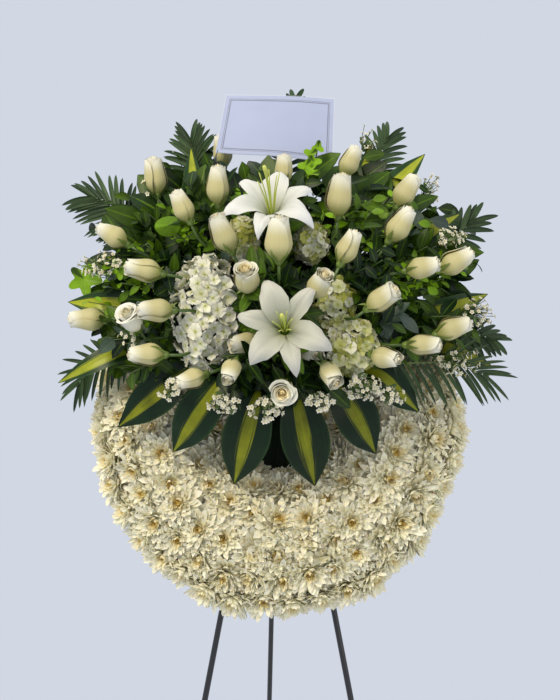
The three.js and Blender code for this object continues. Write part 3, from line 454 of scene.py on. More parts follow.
def mumHead(rng):
    groups = []
    for tier, (count, length, width, rise, curl, height, reach) in enumerate(mum["tiers"]):
        rows, columns = (7, 3) if tier < 4 else (5, 3)
        v = np.linspace(0, 1, rows)
        u = np.linspace(-1, 1, columns)
        outline = lineProfile(v, [0, 0.25, 0.55, 0.8, 0.93, 1], [0.3, 0.66, 1, 0.96, 0.66, 0.1])
        turn = 2 * math.pi * (np.arange(count) + 0.5 * tier) / count + rng.normal(0, 0.09, count)
        long = length * (1 + rng.normal(0, 0.09, count))
        wide = width * (1 + rng.normal(0, 0.1, count))
        slope = np.radians(rise + rng.normal(0, 6, count))[:, None] + np.radians(curl) * v**1.6
        slope = slope + np.radians(rng.normal(0, 11, count))[:, None] * v**3
        step = (long / (rows - 1))[:, None]
        out = reach + np.concatenate([np.zeros((count, 1)), np.cumsum(np.cos(slope[:, 1:]) * step, 1)], 1)
        up = height + np.concatenate([np.zeros((count, 1)), np.cumsum(np.sin(slope[:, 1:]) * step, 1)], 1)
        half = (wide / 2)[:, None] * outline
        side = half[:, :, None] * u + rng.normal(0, 1.6, count)[:, None, None] * (v**2)[:, None]
        cup = rng.uniform(0.25, 0.75, count)[:, None, None] * half[:, :, None] * (u**2 - 0.25)
        radial = out[:, :, None] - np.sin(slope)[:, :, None] * cup
        rise3 = up[:, :, None] + np.cos(slope)[:, :, None] * cup
        c, s = np.cos(turn)[:, None, None], np.sin(turn)[:, None, None]
        petals = np.stack([radial * c - side * s, radial * s + side * c, rise3], -1)
        groups.append((petals, np.stack([rng.uniform(0, 1, count), np.full(count, tier / 6)], -1)))
    return groups


def onRing(section, around, thickness):
    middle = (wreath["inner"] + wreath["outer"]) / 2
    half = (wreath["outer"] - wreath["inner"]) / 2
    radius = middle - (half + thickness) * np.cos(section)
    depth = (wreath["depth"] + thickness) * np.sin(section)
    return np.stack([radius * np.cos(around), -depth + 0 * radius * around, radius * np.sin(around)], -1)


def buildMums():
    rng = np.random.default_rng(mum["seed"])
    piles = [newPile() for _ in range(6)]
    for row, angle in enumerate(mum["rowAngles"]):
        section = math.radians(angle)
        radius = 204 - 108 * math.cos(section)
        count = round(radius * math.radians(240) / mum["pitch"])
        for i in range(count):
            share = (i + 0.5 + rng.uniform(-0.14, 0.14)) / count
            around = math.radians(30 - 240 * share)
            sway = section + math.radians(rng.uniform(-5, 5))
            wider = 7 * abs(math.cos(around)) if row > 2 else 0
            centre = onRing(sway, around, mum["lift"] + wider)
            outward = unit(onRing(sway, around, 20) - onRing(sway, around, 0))
            axis = unit(leaned(outward) + rng.normal(0, 0.14, 3))
            size, spin = rng.uniform(0.92, 1.1) * (0.82 if row == 0 else 1), rng.uniform(0, 6)
            for petals, shades in mumHead(rng):
                addSheets(piles[min(5, int(share * 6))], placed(petals * size, axis, leaned(centre), spin), shades)
    for i, pile in enumerate(piles):
        finishPile(pile, f"mums_{i + 1}", [mumPetal], "chrysanthemum", f"chrysanthemum_bed_{i + 1}")


buildMums()
print("chrysanthemums made")

foamCentre = leaned([0, -(wreath["front"] + 0.3), wreath["foamHeight"]])


# Where the foam's face is along a direction, and how stems leave it
def foamFace(direction):
    back = math.radians(wreath["lean"])
    x, y, z = direction
    own = np.array([x, y * math.cos(back) - z * math.sin(back), z * math.cos(back) + y * math.sin(back)])
    return 1 / np.linalg.norm(own / np.array(wreath["foamHalf"]))


def rootToward(target):
    direction = unit(target - foamCentre)
    return foamCentre + direction * (foamFace(direction) + 4), foamCentre + direction * foamFace(direction) * 0.8


def addStem(pile, target, axis, radius, material, sides=8, points=7):
    end, start = rootToward(target)
    path = smoothPath([start, end, target - unit(axis) * 30, target], points)
    addTubes(pile, path[None], radius, sides, (0.4, 0.3), material)


# Roses: tall buds of wrapped petals with rolled lips, and a few open ones that show their hearts
rose = {
    "long": 68,
    "radius": 21.8,
    "petals": 16,
    "seed": 21,
    "bunches": {  # pixel, angle in the view, turn towards the viewer, how far open, set back, size
        "roses_upper_left": [
            ((155, 175), 95, 15, 0, 0, 0.97), ((182, 205), 115, 15, 0, 0, 0.82),
            ((111, 235), 150, 10, 0, 0, 0.85), ((142, 270), 170, 15, 0, 0, 0.9),
        ],
        "roses_left": [
            ((86, 319), 180, 8, 0, 0, 0.92), ((154, 310), 180, 20, 0, 0, 0.86),
            ((131, 319), 120, 45, 0.7, 0, 0.86), ((145, 355), 180, 15, 0, 0, 0.86),
        ],
        "roses_inner_left": [
            ((218, 184), 90, 20, 0, 0, 0.97), ((223, 232), 115, 25, 0, 0, 0.98),
            ((246, 278), 97, 48, 0.45, 0, 0.92),
        ],
        "roses_lower_left": [
            ((190, 380), 200, 30, 0, 0, 0.76), ((231, 372), 250, 50, 0, 0, 0.72),
            ((243, 343), 190, 30, 0, 42, 0.76),
        ],
        "roses_top": [
            ((284, 168), 88, 12, 0, 10, 0.72), ((222, 150), 95, 10, 0, 66, 0.85),
        ],
        "rose_centre": [
            ((279, 237), 90, 20, 0, -28, 1.04),
        ],
        "roses_upper_right": [
            ((340, 194), 85, 15, 0, 0, 1.04), ((350, 160), 64, 10, 0, 0, 0.8),
            ((349, 246), 64, 12, 0, 0, 0.84), ((320, 283), 60, 46, 0.25, 0, 0.84),
        ],
        "roses_outer_right": [
            ((407, 190), 57, 12, 0, 0, 0.9), ((400, 223), 58, 15, 0, 0, 0.95),
            ((424, 267), 12, 15, 0, 0, 0.83), ((457, 261), 28, 10, 0, 0, 0.94),
        ],
        "roses_lower_right": [
            ((383, 298), 35, 25, 0.2, 0, 0.9), ((455, 328), 20, 12, 0, 0, 0.9),
            ((425, 345), 0, 18, 0, 0, 0.82), ((387, 357), -10, 45, 0, 0, 0.82),
        ],
        "roses_lower_middle": [
            ((331, 375), -60, 45, 0.15, 0, 0.76), ((282, 390), 270, 72, 0.72, 0, 0.79),
            ((307, 349), -30, 50, 0, 62, 0.9),
        ],
    },
}


def rosePetals(open, rng):
    count = rose["petals"] + round(13 * open)
    v = np.linspace(0, 1, 12)[None, :, None]
    u = np.linspace(-1, 1, 13)[None, None, :]
    k = np.arange(count)
    inner = (k / (count - 1))[:, None, None]
    long = rose["long"] * (1 - 0.3 * open)
    top = rng.uniform(0.5, 0.68)
    bud = lineProfile(v, [0, 0.1, 0.26, 0.42, 0.68, 0.86, 1],
                      [0.3, 0.64, 0.95, 1, 0.5 + 0.6 * top, 0.3 + 0.76 * top, top])
    cup = lineProfile(v, [0, 0.1, 0.28, 0.5, 0.72, 0.9, 1], [0.24, 0.62, 0.9, 1.02, 1.06, 1.09, 1.12])
    shape = rose["radius"] * ((1 - open) * bud + open * cup)
    shrink = 1 - (0.86 - 0.04 * open) * inner**(0.85 - 0.1 * open)
    radius = shape * shrink
    wrap = np.radians(74 + 34 * inner) * lineProfile(v, [0, 0.15, 0.55, 0.85, 1], [0.6, 0.85, 1, 0.92, 0.66])
    theta = (k * goldenTurn + rng.normal(0, 0.08, count))[:, None, None] + u * wrap
    lip = np.clip((v - 0.8) / 0.2, 0, 1)
    roll = (2.6 + 6.4 * open) * (1 - inner) ** 0.8 * (1 + 0.35 * rng.normal(0, 1, count)[:, None, None])
    roll = roll * np.where(inner < 0.75, 1, 0.15)
    free = np.clip(u, 0, 1)
    radius = radius + roll * lip**2 * (1 - 0.3 * u**2) + (0.9 - 0.6 * inner) * u + 0.8 * (1 - inner) * free**5 * v
    radius = radius + 0.5 * np.sin(5 * u + k[:, None, None]) * v**2
    close = np.clip((inner - 0.55) / 0.45, 0, 1) * lip
    heart = np.clip((inner - 0.74) / 0.26, 0, 1) * np.clip((v - 0.66) / 0.3, 0, 1)
    radius = radius * (1 - 0.45 * close * (1 - 0.8 * open)) * (1 - 0.8 * heart)
    height = long * (v * (0.955 + 0.045 * inner) - 0.075 * np.abs(u)**2.2 * v**2)
    height = height - roll * 0.55 * lip**2.5 + 0.3 * np.sin(5 * u + 2 * k[:, None, None]) * lip
    height = height - 1.8 * (1 - inner) * rng.uniform(0, 1, count)[:, None, None] * v
    grids = np.stack([radius * np.cos(theta), radius * np.sin(theta), height + 0 * radius], -1)
    shades = np.stack([rng.uniform(0.25, 1, count), np.clip(inner[:, 0, 0] * (0.75 + 0.4 * open), 0, 1)], -1)
    return grids, shades


def roseSepals(rng):
    v = np.linspace(0, 1, 9)
    u = np.linspace(-1, 1, 3)
    grids = []
    for i in range(5):
        turn = 2 * math.pi * i / 5 + rng.normal(0, 0.15)
        if rng.uniform() < 0.55:
            up = -1 + rng.uniform(20, 30) * v
            bud = lineProfile(up / rose["long"], [0, 0.1, 0.26, 0.42], [0.3, 0.64, 0.95, 1])
            out = rose["radius"] * bud + 2.4 - 1.2 * v
        else:
            up = 3 - rng.uniform(2, 12) * v**2
            out = 6 + 16 * v
        half = 3.4 * lineProfile(v, [0, 0.3, 0.7, 1], [0.9, 1, 0.5, 0.04])
        side = half[:, None] * u
        rise = up[:, None] + 0.3 * np.abs(side)
        grids.append(np.stack([out[:, None] * math.cos(turn) - side * math.sin(turn),
                               out[:, None] * math.sin(turn) + side * math.cos(turn), rise], -1))
    return np.array(grids)


def buildRoses():
    rng = np.random.default_rng(rose["seed"])
    for name, heads in rose["bunches"].items():
        pile = newPile()
        for pixel, angle, toward, open, back, size in heads:
            axis = pointing(angle, toward)
            long = size * rose["long"] * (1 - 0.3 * open)
            base = seen(pixel, domeDepth(pixel) - back) - axis * long / 2
            grids, shades = rosePetals(open, rng)
            spin = rng.uniform(0, 6)
            white = pixel == (131, 319)
            addSheets(pile, placed(size * grids, axis, base, spin), shades, 3 if white else 0)
            addSheets(pile, placed(size * roseSepals(rng), axis, base, spin), (rng.uniform(), 0.5), 1)
            cup = turnedRows([(0.2, -9), (4, -8), (6.2, -4), (7, 1), (6, 5), (0.2, 6)], 12)
            addSheets(pile, placed(cup, axis, base), (0.6, 0.4), 1, closed=True)
            addStem(pile, base, axis, 2.6, 2)
        finishPile(pile, f"{name}_petals", [rosePetal, sepalGreen, stemGreen, whiteRosePetal], "rose", name)


buildRoses()
print("roses made")

# Lilies: three broad and three narrow petals that bend back, with green throats
lily = {
    "heads": {
        "lily_upper": {"pixel": (271, 204), "angle": 95, "toward": 50, "spin": 1.25, "depth": 235, "stamens": 76,
                       "turns": (0.12, 0, 0, 0.05, 0.1, 0.15)},
        "lily_lower": {"pixel": (284, 326), "angle": 100, "toward": 78, "spin": -0.2, "depth": 296, "stamens": 54,
                       "turns": (-0.26, 0.04, 0.06, 0, -0.05, -0.15)},
    },
    "line": ((4, -34), (7, -16), (10, -2), (24, 19), (42, 32), (59, 35), (71, 27), (77, 11)),
    "halfWidths": (3, 5, 8, 15.5, 19, 15.5, 9, 0.6),
    "seed": 5,
}


def lilyHead(turns, rng):
    rows, columns = 22, 11
    line = smoothPath([(r, 0, z) for r, z in lily["line"]], rows)
    v = np.linspace(0, 1, rows)
    u = np.linspace(-1, 1, columns)
    along = unit(np.gradient(line, axis=0))
    up = np.stack([-along[:, 2], np.zeros(rows), along[:, 0]], -1)
    grids = []
    for i in range(6):
        turn = math.pi * i / 3 + turns[i]
        wide = 1.16 if i % 2 == 0 else 0.82
        half = wide * np.interp(v, np.linspace(0, 1, 8), lily["halfWidths"])
        lift = 3 if i % 2 == 0 else -1
        bow = rng.normal(0, 3) * v**2
        ripple = 1.8 * np.sin(13 * v[:, None] + 3 * i + np.sign(u)) * np.abs(u) ** 3 * np.clip(v * 2 - 0.5, 0, 1)[:, None]
        rib = -2.4 * np.exp(-((u / 0.14) ** 2)) * np.sin(math.pi * v)[:, None]
        cup = 4.5 * (u**2) * (np.sin(math.pi * v) - 2.4 * np.exp(-(((v - 0.74) / 0.15) ** 2)))[:, None] * wide
        off = (ripple + rib + cup + lift * v[:, None] + rng.normal(0, 3) * (v**3)[:, None])[..., None] * up[:, None]
        side = half[:, None] * u + bow[:, None]
        points = line[:, None] + off
        points[..., 1] += side
        c, s = math.cos(turn), math.sin(turn)
        grids.append(np.stack([points[..., 0] * c - points[..., 1] * s, points[..., 0] * s + points[..., 1] * c,
                               points[..., 2]], -1))
    return np.array(grids)


def buildLilies():
    rng = np.random.default_rng(lily["seed"])
    for name, head in lily["heads"].items():
        pile = newPile()
        axis = pointing(head["angle"], head["toward"])
        place = seen(head["pixel"], head["depth"]) - axis * 20
        grids = placed(lilyHead(head["turns"], rng), axis, place, head["spin"])
        addSheets(pile, grids, np.stack([rng.uniform(0.4, 0.8, 6), np.zeros(6)], -1))
        paths = []
        for i in range(6):
            turn = math.pi * i / 3 + 0.3
            reach, tall = rng.uniform(13, 20), head["stamens"] * rng.uniform(0.95, 1.08)
            paths.append(smoothPath([(2 * math.cos(turn), 2 * math.sin(turn), -14),
                                     (0.5 * reach * math.cos(turn), 0.5 * reach * math.sin(turn), tall * 0.5),
                                     (reach * math.cos(turn), reach * math.sin(turn), tall)], 9))
        addTubes(pile, placed(np.array(paths), axis, place, head["spin"]), np.linspace(1.3, 0.8, 9), 8,
                 (0.6, 0.2), 1)
        tall = 1.24 * head["stamens"]
        pistil = smoothPath([(0, 0, -16), (1, 1, 25), (-2, 4, tall - 4), (-3, 5, tall)], 10)
        addTubes(pile, placed(pistil[None], axis, place, head["spin"]),
                 [2.6, 2.2, 1.9, 1.8, 1.8, 1.8, 1.9, 2.2, 3.4, 2.6], 9, (0.7, 0.5), 1)
        addStem(pile, place - axis * 30, axis, 3.4, 2)
        petals = shadyLilyPetal if name == "lily_lower" else lilyPetal
        finishPile(pile, f"{name}_petals", [petals, lilyStamen, stemGreen], "lily", name)


buildLilies()
print("lilies made")

# Hydrangeas: four-petalled florets over rounded heads
hydrangea = {
    "seed": 9,
    "heads": {  # pixel, depth, half sizes, florets, how green, petal length
        "hydrangea_left": [((206, 314), 178, (54, 46, 88), 210, 0.0, 12.6)],
        "hydrangea_right": [((333, 305), 190, (35, 36, 44), 112, 0.8, 10.2),
                            ((350, 346), 196, (44, 42, 46), 132, 0.6, 10.4)],
        "hydrangea_rear": [((243, 240), 170, (28, 28, 34), 72, 0.55, 10), ((311, 243), 170, (27, 28, 32), 68, 0.6, 10)],
    },
}


def floretPetals(size, rng):
    v = np.linspace(0, 1, 5)
    u = np.linspace(-1, 1, 5)
    half = lineProfile(v, [0, 0.25, 0.6, 0.85, 1], [0.12, 0.55, 0.74, 0.6, 0.2]) * size
    grids = []
    for i in range(4):
        turn = math.pi * i / 2 + rng.normal(0, 0.12)
        out = (1 + (size - 1) * v)[:, None] - 0.1 * size * np.abs(u) ** 2 * v[:, None]
        side = half[:, None] * u
        bend = rng.uniform(-0.1, 0.35)
        rise = (0.6 * (i % 2) + bend * size * v**2)[:, None] + 0.12 * size * np.sin(4 * u + i) * v[:, None]
        grids.append(np.stack([out * math.cos(turn) - side * math.sin(turn),
                               out * math.sin(turn) + side * math.cos(turn), rise], -1))
    return np.array(grids)


def buildHydrangeas():
    rng = np.random.default_rng(hydrangea["seed"])
    for name, heads in hydrangea["heads"].items():
        pile = newPile()
        for pixel, depth, half, count, green, long in heads:
            centre = seen(pixel, depth)
            for i in range(count):
                height = 1 - 2 * (i + 0.5) / count
                flat = math.sqrt(1 - height * height)
                way = np.array([flat * math.cos(i * goldenTurn), flat * math.sin(i * goldenTurn), height])
                place = centre + way * np.array(half) * rng.uniform(0.9, 1.08)
                axis = unit(way / np.array(half) * 50 + rng.normal(0, 0.42, 3))
                size = long * rng.uniform(0.8, 1.2)
                lime = np.clip(green + rng.normal(0, 0.22), 0, 1)
                addSheets(pile, placed(floretPetals(size, rng), axis, place, rng.uniform(0, 6)),
                          (rng.uniform(), lime))
                bead = turnedRows([(0.1, -0.6), (1.3, -0.2), (1.5, 0.9), (0.1, 1.7)], 6)
                addSheets(pile, placed(bead, axis, place), (0.8, 1.0), 0, closed=True)
            core = turnedRows([(math.cos(a) + 0.001, math.sin(a)) for a in np.linspace(-1.57, 1.57, 9)], 16)
            addSheets(pile, core * np.array(half) * 0.8 + centre, (0.2, 0.1), 1, closed=True)
            addStem(pile, centre, np.array([0, -1, 0]), 4, 1)
        finishPile(pile, f"{name}_florets", [hydrangeaPetal, stemGreen], "hydrangea", name)


buildHydrangeas()
print("hydrangeas made")


# A leaf blade over a line: half widths, a fold along its middle and a little wave at its edges
def bladeGrid(path, half, facing, fold=0.16, columns=9, wave=0.0, phase=0.0):
    rows = len(path)
    along = unit(np.gradient(path, axis=0))
    across = unit(np.cross(along, facing))
    normal = np.cross(across, along)
    u = np.linspace(-1, 1, columns)
    v = np.linspace(0, 1, rows)
    side = np.asarray(half)[:, None] * u
    lift = fold * np.abs(side) ** 1.0
    lift = lift + wave * np.sin(9 * v[:, None] + 2.2 * np.sign(u) + phase) * np.abs(u) ** 2 * np.sin(math.pi * v)[:, None]
    return path[:, None] + side[..., None] * across[:, None] + lift[..., None] * normal[:, None]


# Broad striped leaves: pixel where one shows first, pixel of its tip, their depths, half width
broad = {
    "leaves": {
        "broad_leaves_lower_left": [((186, 372), (118, 427), 165, 128, 34), ((219, 384), (173, 452), 180, 128, 36)],
        "broad_leaf_middle_left": [((257, 398), (234, 484), 190, 130, 40)],
        "broad_leaf_middle_right": [((297, 400), (315, 486), 190, 130, 40)],
        "broad_leaves_lower_right": [((340, 388), (376, 454), 178, 128, 37), ((380, 374), (419, 412), 165, 130, 28)],
        "broad_leaves_left": [((118, 352), (58, 383), 134, 120, 19), ((122, 306), (68, 302), 112, 86, 24)],
        "broad_leaves_right": [((440, 312), (488, 294), 108, 88, 22), ((446, 348), (493, 367), 120, 100, 22)],
        "broad_leaves_upper_right": [((390, 190), (425, 154), 80, 40, 22), ((415, 240), (460, 214), 100, 72, 24)],
        "broad_leaves_top": [((360, 190), (370, 144), 72, 36, 20), ((196, 205), (191, 148), 80, 34, 20)],
    },
    "stops": (0, 0.2, 0.4, 0.58, 0.76, 0.9, 1),
    "widths": (0.07, 0.14, 0.76, 1, 0.79, 0.37, 0.02),
}


def buildBroadLeaves():
    rng = np.random.default_rng(3)
    for name, leaves in broad["leaves"].items():
        pile = newPile()
        starts = [seen(start, depth) for start, _, depth, _, _ in leaves]
        middle = sum(starts) / len(starts)
        rootEnd, rootStart = rootToward(middle)
        for start, (_, tipPixel, _, tipDepth, half) in zip(starts, leaves):
            tip = seen(tipPixel, tipDepth)
            bow = start + 0.45 * (tip - start) + np.array([0, -0.12 * np.linalg.norm(tip - start), 0])
            path = smoothPath([rootEnd, (rootEnd + start) / 2, start, bow, tip], 30)
            v = np.linspace(0, 1, 30)
            facing = unit(np.array([0, -1, 0.15]) + 0.4 * unit(middle - foamCentre))
            grid = bladeGrid(path, half * lineProfile(v, broad["stops"], broad["widths"]), facing, 0.16, 13, 1.5,
                             rng.uniform(0, 6))
            addSheets(pile, grid[None], (rng.uniform(), 0.1))
            addTubes(pile, path[None, :8], 2.4, 8, (0.5, 0.5), 1)
        blades = stripedLeaf if "lower" in name or "middle" in name else paleStripedLeaf
        finishPile(pile, f"{name}_blades", [blades, stemGreen], "leaf", name)


buildBroadLeaves()

# Palm fronds: pixels along the rib, depths at its ends, leaflet length, leaflet pairs, half width
palm = {
    "fronds": {
        "palm_frond_left": (((150, 236), (112, 205), (72, 190)), (86, 56), 84, 14, 4.2),
        "palm_frond_upper_left": (((206, 205), (196, 165), (187, 122)), (52, 4), 78, 17, 4.2),
        "palm_frond_top": (((290, 180), (292, 130), (298, 74)), (34, -20), 52, 10, 4.6),
        "palm_frond_upper_right": (((366, 196), (378, 160), (396, 120)), (56, 14), 70, 11, 4.4),
        "palm_frond_right": (((420, 262), (455, 236), (488, 208)), (84, 56), 68, 10, 5),
        "palm_frond_lower_right": (((392, 362), (448, 363), (514, 384)), (168, 120), 88, 14, 3.2),
        "palm_frond_lower_left": (((128, 354), (94, 366), (66, 400)), (100, 84), 64, 10, 3.6),
        "palm_frond_far_right": (((440, 330), (475, 335), (510, 344)), (104, 78), 54, 9, 4.8),
    },
}


def buildPalms():
    rng = np.random.default_rng(17)
    for name, (pixels, (near, far), reach, pairs, wide) in palm["fronds"].items():
        pile = newPile()
        rib = [seen(pixel, near + (far - near) * i / 2) for i, pixel in enumerate(pixels)]
        path = smoothPath([rib[0], rib[1], rib[1] + 0.62 * (rib[2] - rib[1])], pairs + 2)
        along = unit(np.gradient(path, axis=0))
        across = unit(np.cross(along, np.array([0, -1, 0.1])))
        normal = np.cross(across, along)
        rootEnd, rootStart = rootToward(rib[0])
        whole = smoothPath([rootStart, rootEnd, rib[0], rib[1], path[-1]], 24)
        addTubes(pile, whole[None], np.linspace(2.4, 0.9, 24), 8, (0.5, 0.6), 1)
        v = np.linspace(0, 1, 10)
        half = wide * lineProfile(v, [0, 0.15, 0.5, 0.85, 1], [0.5, 0.9, 1, 0.6, 0.06])
        grids, shades = [], []
        for i in range(pairs + 1):
            share = math.sin(math.pi * (i + 1.6) / (pairs + 3.2))
            for side in (-1, 1):
                long = reach * (0.72 + 0.28 * share) * rng.uniform(0.88, 1.06)
                lean = 0.5 + 1.9 * (i / pairs) ** 3 + rng.normal(0, 0.07)
                way = unit(side * 0.82 * across[i] + lean * along[i] + rng.normal(0, 0.05) * normal[i])
                bend = (-0.1 - 0.2 * rng.uniform()) * normal[i] + np.array([0, 0, -0.1])
                line = path[i] + way * long * v[:, None] + bend * long * (v**2)[:, None]
                face = unit(normal[i] + 0.35 * side * across[i] + rng.normal(0, 0.12, 3))
                grids.append(bladeGrid(line, half, face, 0.5, 5))
                shades.append((rng.uniform(), rng.uniform(0, 0.35)))
        addSheets(pile, np.array(grids), np.array(shades))
        finishPile(pile, f"{name}_leaflets", [palmLeaf, stemGreen], "frond", name)


buildPalms()

# Dark narrow leaves that hang behind the ring's hole, their near-black green partly their own colour and partly painted
# shade
hole = {"leaves": 11, "spread": 0.5, "reach": 246, "halfWidth": 15, "top": 132, "behind": 13.2}


def buildBackLeaves():
    rng = np.random.default_rng(29)
    pile = newPile()
    for i in range(hole["leaves"]):
        swing = hole["spread"] * (2 * i / (hole["leaves"] - 1) - 1)
        reach = hole["reach"] * rng.uniform(0.86, 1) - 30 * abs(swing)
        t = np.linspace(0, 1, 18)
        deep = hole["behind"] + (6 + 14 * rng.uniform()) * t + 3 * (i % 3)
        path = leaned(np.stack([math.sin(swing) * reach * t * 0.86, deep, hole["top"] - math.cos(swing) * reach * t], -1))
        half = hole["halfWidth"] * lineProfile(t, [0, 0.3, 0.6, 0.9, 1], [0.5, 0.9, 1, 0.45, 0.03])
        addSheets(pile, bladeGrid(path, half, np.array([0, -1, 0.0]), 0.1, 7)[None], (rng.uniform(), rng.uniform(0, 0.4)))
    finishPile(pile, "hanging_leaves", [darkLeaf], "leaf", "back_leaves")


buildBackLeaves()
print("leaves made")

# Leafy sprigs that fill the spray: many dark glossy leaves, some bright, a few greyish
sprigs = {
    "seed": 41,
    "count": 330,
    "leavesEach": 13,
    "middle": (282, 290),
    "spread": (202, 150),
    "lowest": 396,
    "under": (22, 120),  # how far the tips stay under the spray's face
    "bright": (((310, 250), 26), ((322, 205), 22), ((392, 210), 30), ((396, 262), 18), ((120, 282), 36),
               ((170, 222), 22), ((234, 190), 16), ((440, 275), 26), ((330, 130), 14), ((104, 288), 26)),
    # painted shade: sprigs whose tips fall in these patches take the darkest blade colour, where shade falls between
    # the flowers
    "shadePatches": (((282, 388), 120, 30), ((205, 254), 44, 16), ((300, 262), 30, 14), ((412, 322), 44, 18),
             ((384, 262), 26, 14), ((160, 290), 40, 12)),
    "keepOff": (((206, 314), 38, 60, 178), ((333, 305), 28, 34, 190), ((350, 346), 34, 34, 196),
                ((243, 240), 22, 26, 170), ((311, 243), 22, 26, 170)),
}


def sprigRoom(pixel):
    depth = domeDepth(pixel)
    for (x, y), wide, tall, deep in sprigs["keepOff"]:
        if ((pixel[0] - x) / wide) ** 2 + ((pixel[1] - y) / tall) ** 2 < 1:
            depth = min(depth, deep)
    return depth


def leafGrids(starts, ways, longs, halves, faces, fold=0.25, droop=0.2):
    v = np.linspace(0, 1, 7)
    half = lineProfile(v, [0, 0.12, 0.4, 0.75, 0.93, 1], [0.1, 0.5, 1, 0.7, 0.28, 0.03])
    grids = []
    for start, way, long, wide, face in zip(starts, ways, longs, halves, faces):
        down = -face * droop * long
        line = start + way * long * v[:, None] + down * (v**2)[:, None]
        grids.append(bladeGrid(line, wide * half, face, fold, 3))
    return np.array(grids)


def buildSprigs():
    rng = np.random.default_rng(sprigs["seed"])
    piles = {"greens_left": newPile(), "greens_top": newPile(), "greens_right": newPile()}
    made = 0
    while made < sprigs["count"]:
        turn, far = rng.uniform(0, 2 * math.pi), math.sqrt(rng.uniform(0, 1))
        pixel = (sprigs["middle"][0] + sprigs["spread"][0] * far * math.cos(turn),
                 sprigs["middle"][1] + sprigs["spread"][1] * far * math.sin(turn))
        overCard = 214 < pixel[0] < 362 and pixel[1] < (184 if pixel[0] > 296 else 165)
        overComb = 396 < pixel[0] < 490 and pixel[1] > 350
        if overCard or overComb or pixel[1] > sprigs["lowest"] - 0.0009 * (pixel[0] - 282) ** 2:
            continue
        made += 1
        tip = seen(pixel, sprigRoom(pixel) - rng.uniform(*sprigs["under"]))
        end, start = rootToward(tip)
        sag = (end + tip) / 2 + rng.normal(0, 6, 3)
        path = smoothPath([start, end, sag, tip], 12)
        paleGreen = rng.uniform(0, 0.2) if rng.uniform() < 0.75 else rng.uniform(0.2, 0.5)
        small = False
        for (x, y), reach in sprigs["bright"]:
            if math.hypot(pixel[0] - x, pixel[1] - y) < reach:
                paleGreen, small = rng.uniform(0.5, 1), True
        # painted shade: no pale green for sprigs inside the shade patches
        for (x, y), wide, tall in sprigs["shadePatches"]:
            if ((pixel[0] - x) / wide) ** 2 + ((pixel[1] - y) / tall) ** 2 < 1:
                paleGreen = 0.0
        grey = not small and rng.uniform() < 0.06
        name = "greens_left" if pixel[0] < 225 else "greens_right" if pixel[0] > 345 else "greens_top"
        pile = piles[name]
        addTubes(pile, path[None], np.linspace(1.7, 0.8, 12), 5, (0.5, 0.3), 1)
        along = unit(tip - end)
        ways, starts, faces = [], [], []
        count = sprigs["leavesEach"]
        for i in range(count):
            share = 0.3 + 0.7 * (i + 1) / count
            spot = path[min(11, int(share * 11))] + rng.normal(0, 1.5, 3)
            spin = i * goldenTurn + rng.uniform(-0.4, 0.4)
            side = unit(np.cross(along, np.array([0.2, 0.3, 0.93])))
            other = np.cross(side, along)
            way = unit(side * math.cos(spin) + other * math.sin(spin) + along * rng.uniform(0.3, 1.1))
            face = np.array([0, -0.8, 0.55]) + rng.normal(0, 0.35, 3)
            starts.append(spot)
            ways.append(way)
            faces.append(unit(face - way * np.dot(face, way)))
        longs = rng.uniform(15, 26, count) if small else rng.uniform(26, 46, count)
        halves = longs * (rng.uniform(0.24, 0.34, count) if small else rng.uniform(0.2, 0.3, count))
        shades = np.stack([rng.uniform(0, 1, count), np.clip(paleGreen + rng.normal(0, 0.08, count), 0, 1)], -1)
        addSheets(pile, leafGrids(starts, ways, longs, halves, faces), shades, 2 if grey else 0)
    return piles


# Larger dark leaves close over the foam
def addCover(piles):
    rng = np.random.default_rng(43)
    for i in range(420):
        turn, rise = rng.uniform(0, 2 * math.pi), rng.uniform(0.0, 1.45)
        way = leaned([math.cos(turn) * math.cos(rise), -math.sin(rise), math.sin(turn) * math.cos(rise)])
        if way[2] < -0.75:
            continue
        start = foamCentre + way * (foamFace(way) - 4)
        flow = unit(way + 0.9 * unit(np.cross(way, rng.normal(0, 1, 3))))
        long = rng.uniform(45, 75)
        name = "greens_left" if start[0] < -60 else "greens_right" if start[0] > 60 else "greens_top"
        face = unit(np.cross(flow, np.cross(np.array([0, -1, 0.3]) + rng.normal(0, 0.3, 3), flow)))
        grids = leafGrids([start], [flow], [long], [long * rng.uniform(0.18, 0.27)], [face], 0.2, 0.25)
        addSheets(piles[name], grids, (rng.uniform(), rng.uniform(0, 0.12)))


# Broad dark leaves at the back of the spray, between the sprigs and the ring
def addBacking(piles):
    rng = np.random.default_rng(47)
    for i in range(190):
        turn, far = i * goldenTurn, 0.42 + 0.5 * math.sqrt((i + 0.5) / 190)
        across, up = far * math.cos(turn), far * math.sin(turn)
        pixel = (282 + 200 * across, 292 - 150 * up)
        if pixel[1] > (346 if pixel[0] > 396 else 384) or (206 < pixel[0] < 364 and pixel[1] < 168):
            continue
        way = unit(np.array([across, rng.uniform(-0.35, 0.1), up]) + rng.normal(0, 0.3, 3))
        start = seen(pixel, 0.5 * domeDepth(pixel) + rng.uniform(-10, 14)) - way * 30
        long = rng.uniform(56, 84)
        face = unit(np.cross(way, np.cross(np.array([0, -1, 0.25]) + rng.normal(0, 0.25, 3), way)))
        name = "greens_left" if pixel[0] < 225 else "greens_right" if pixel[0] > 345 else "greens_top"
        grids = leafGrids([start], [way], [long], [long * rng.uniform(0.22, 0.3)], [face], 0.15, 0.2)
        addSheets(piles[name], grids, (rng.uniform(), rng.uniform(0, 0.2)))
        addStem(piles[name], start, way, 1.3, 1, 5)


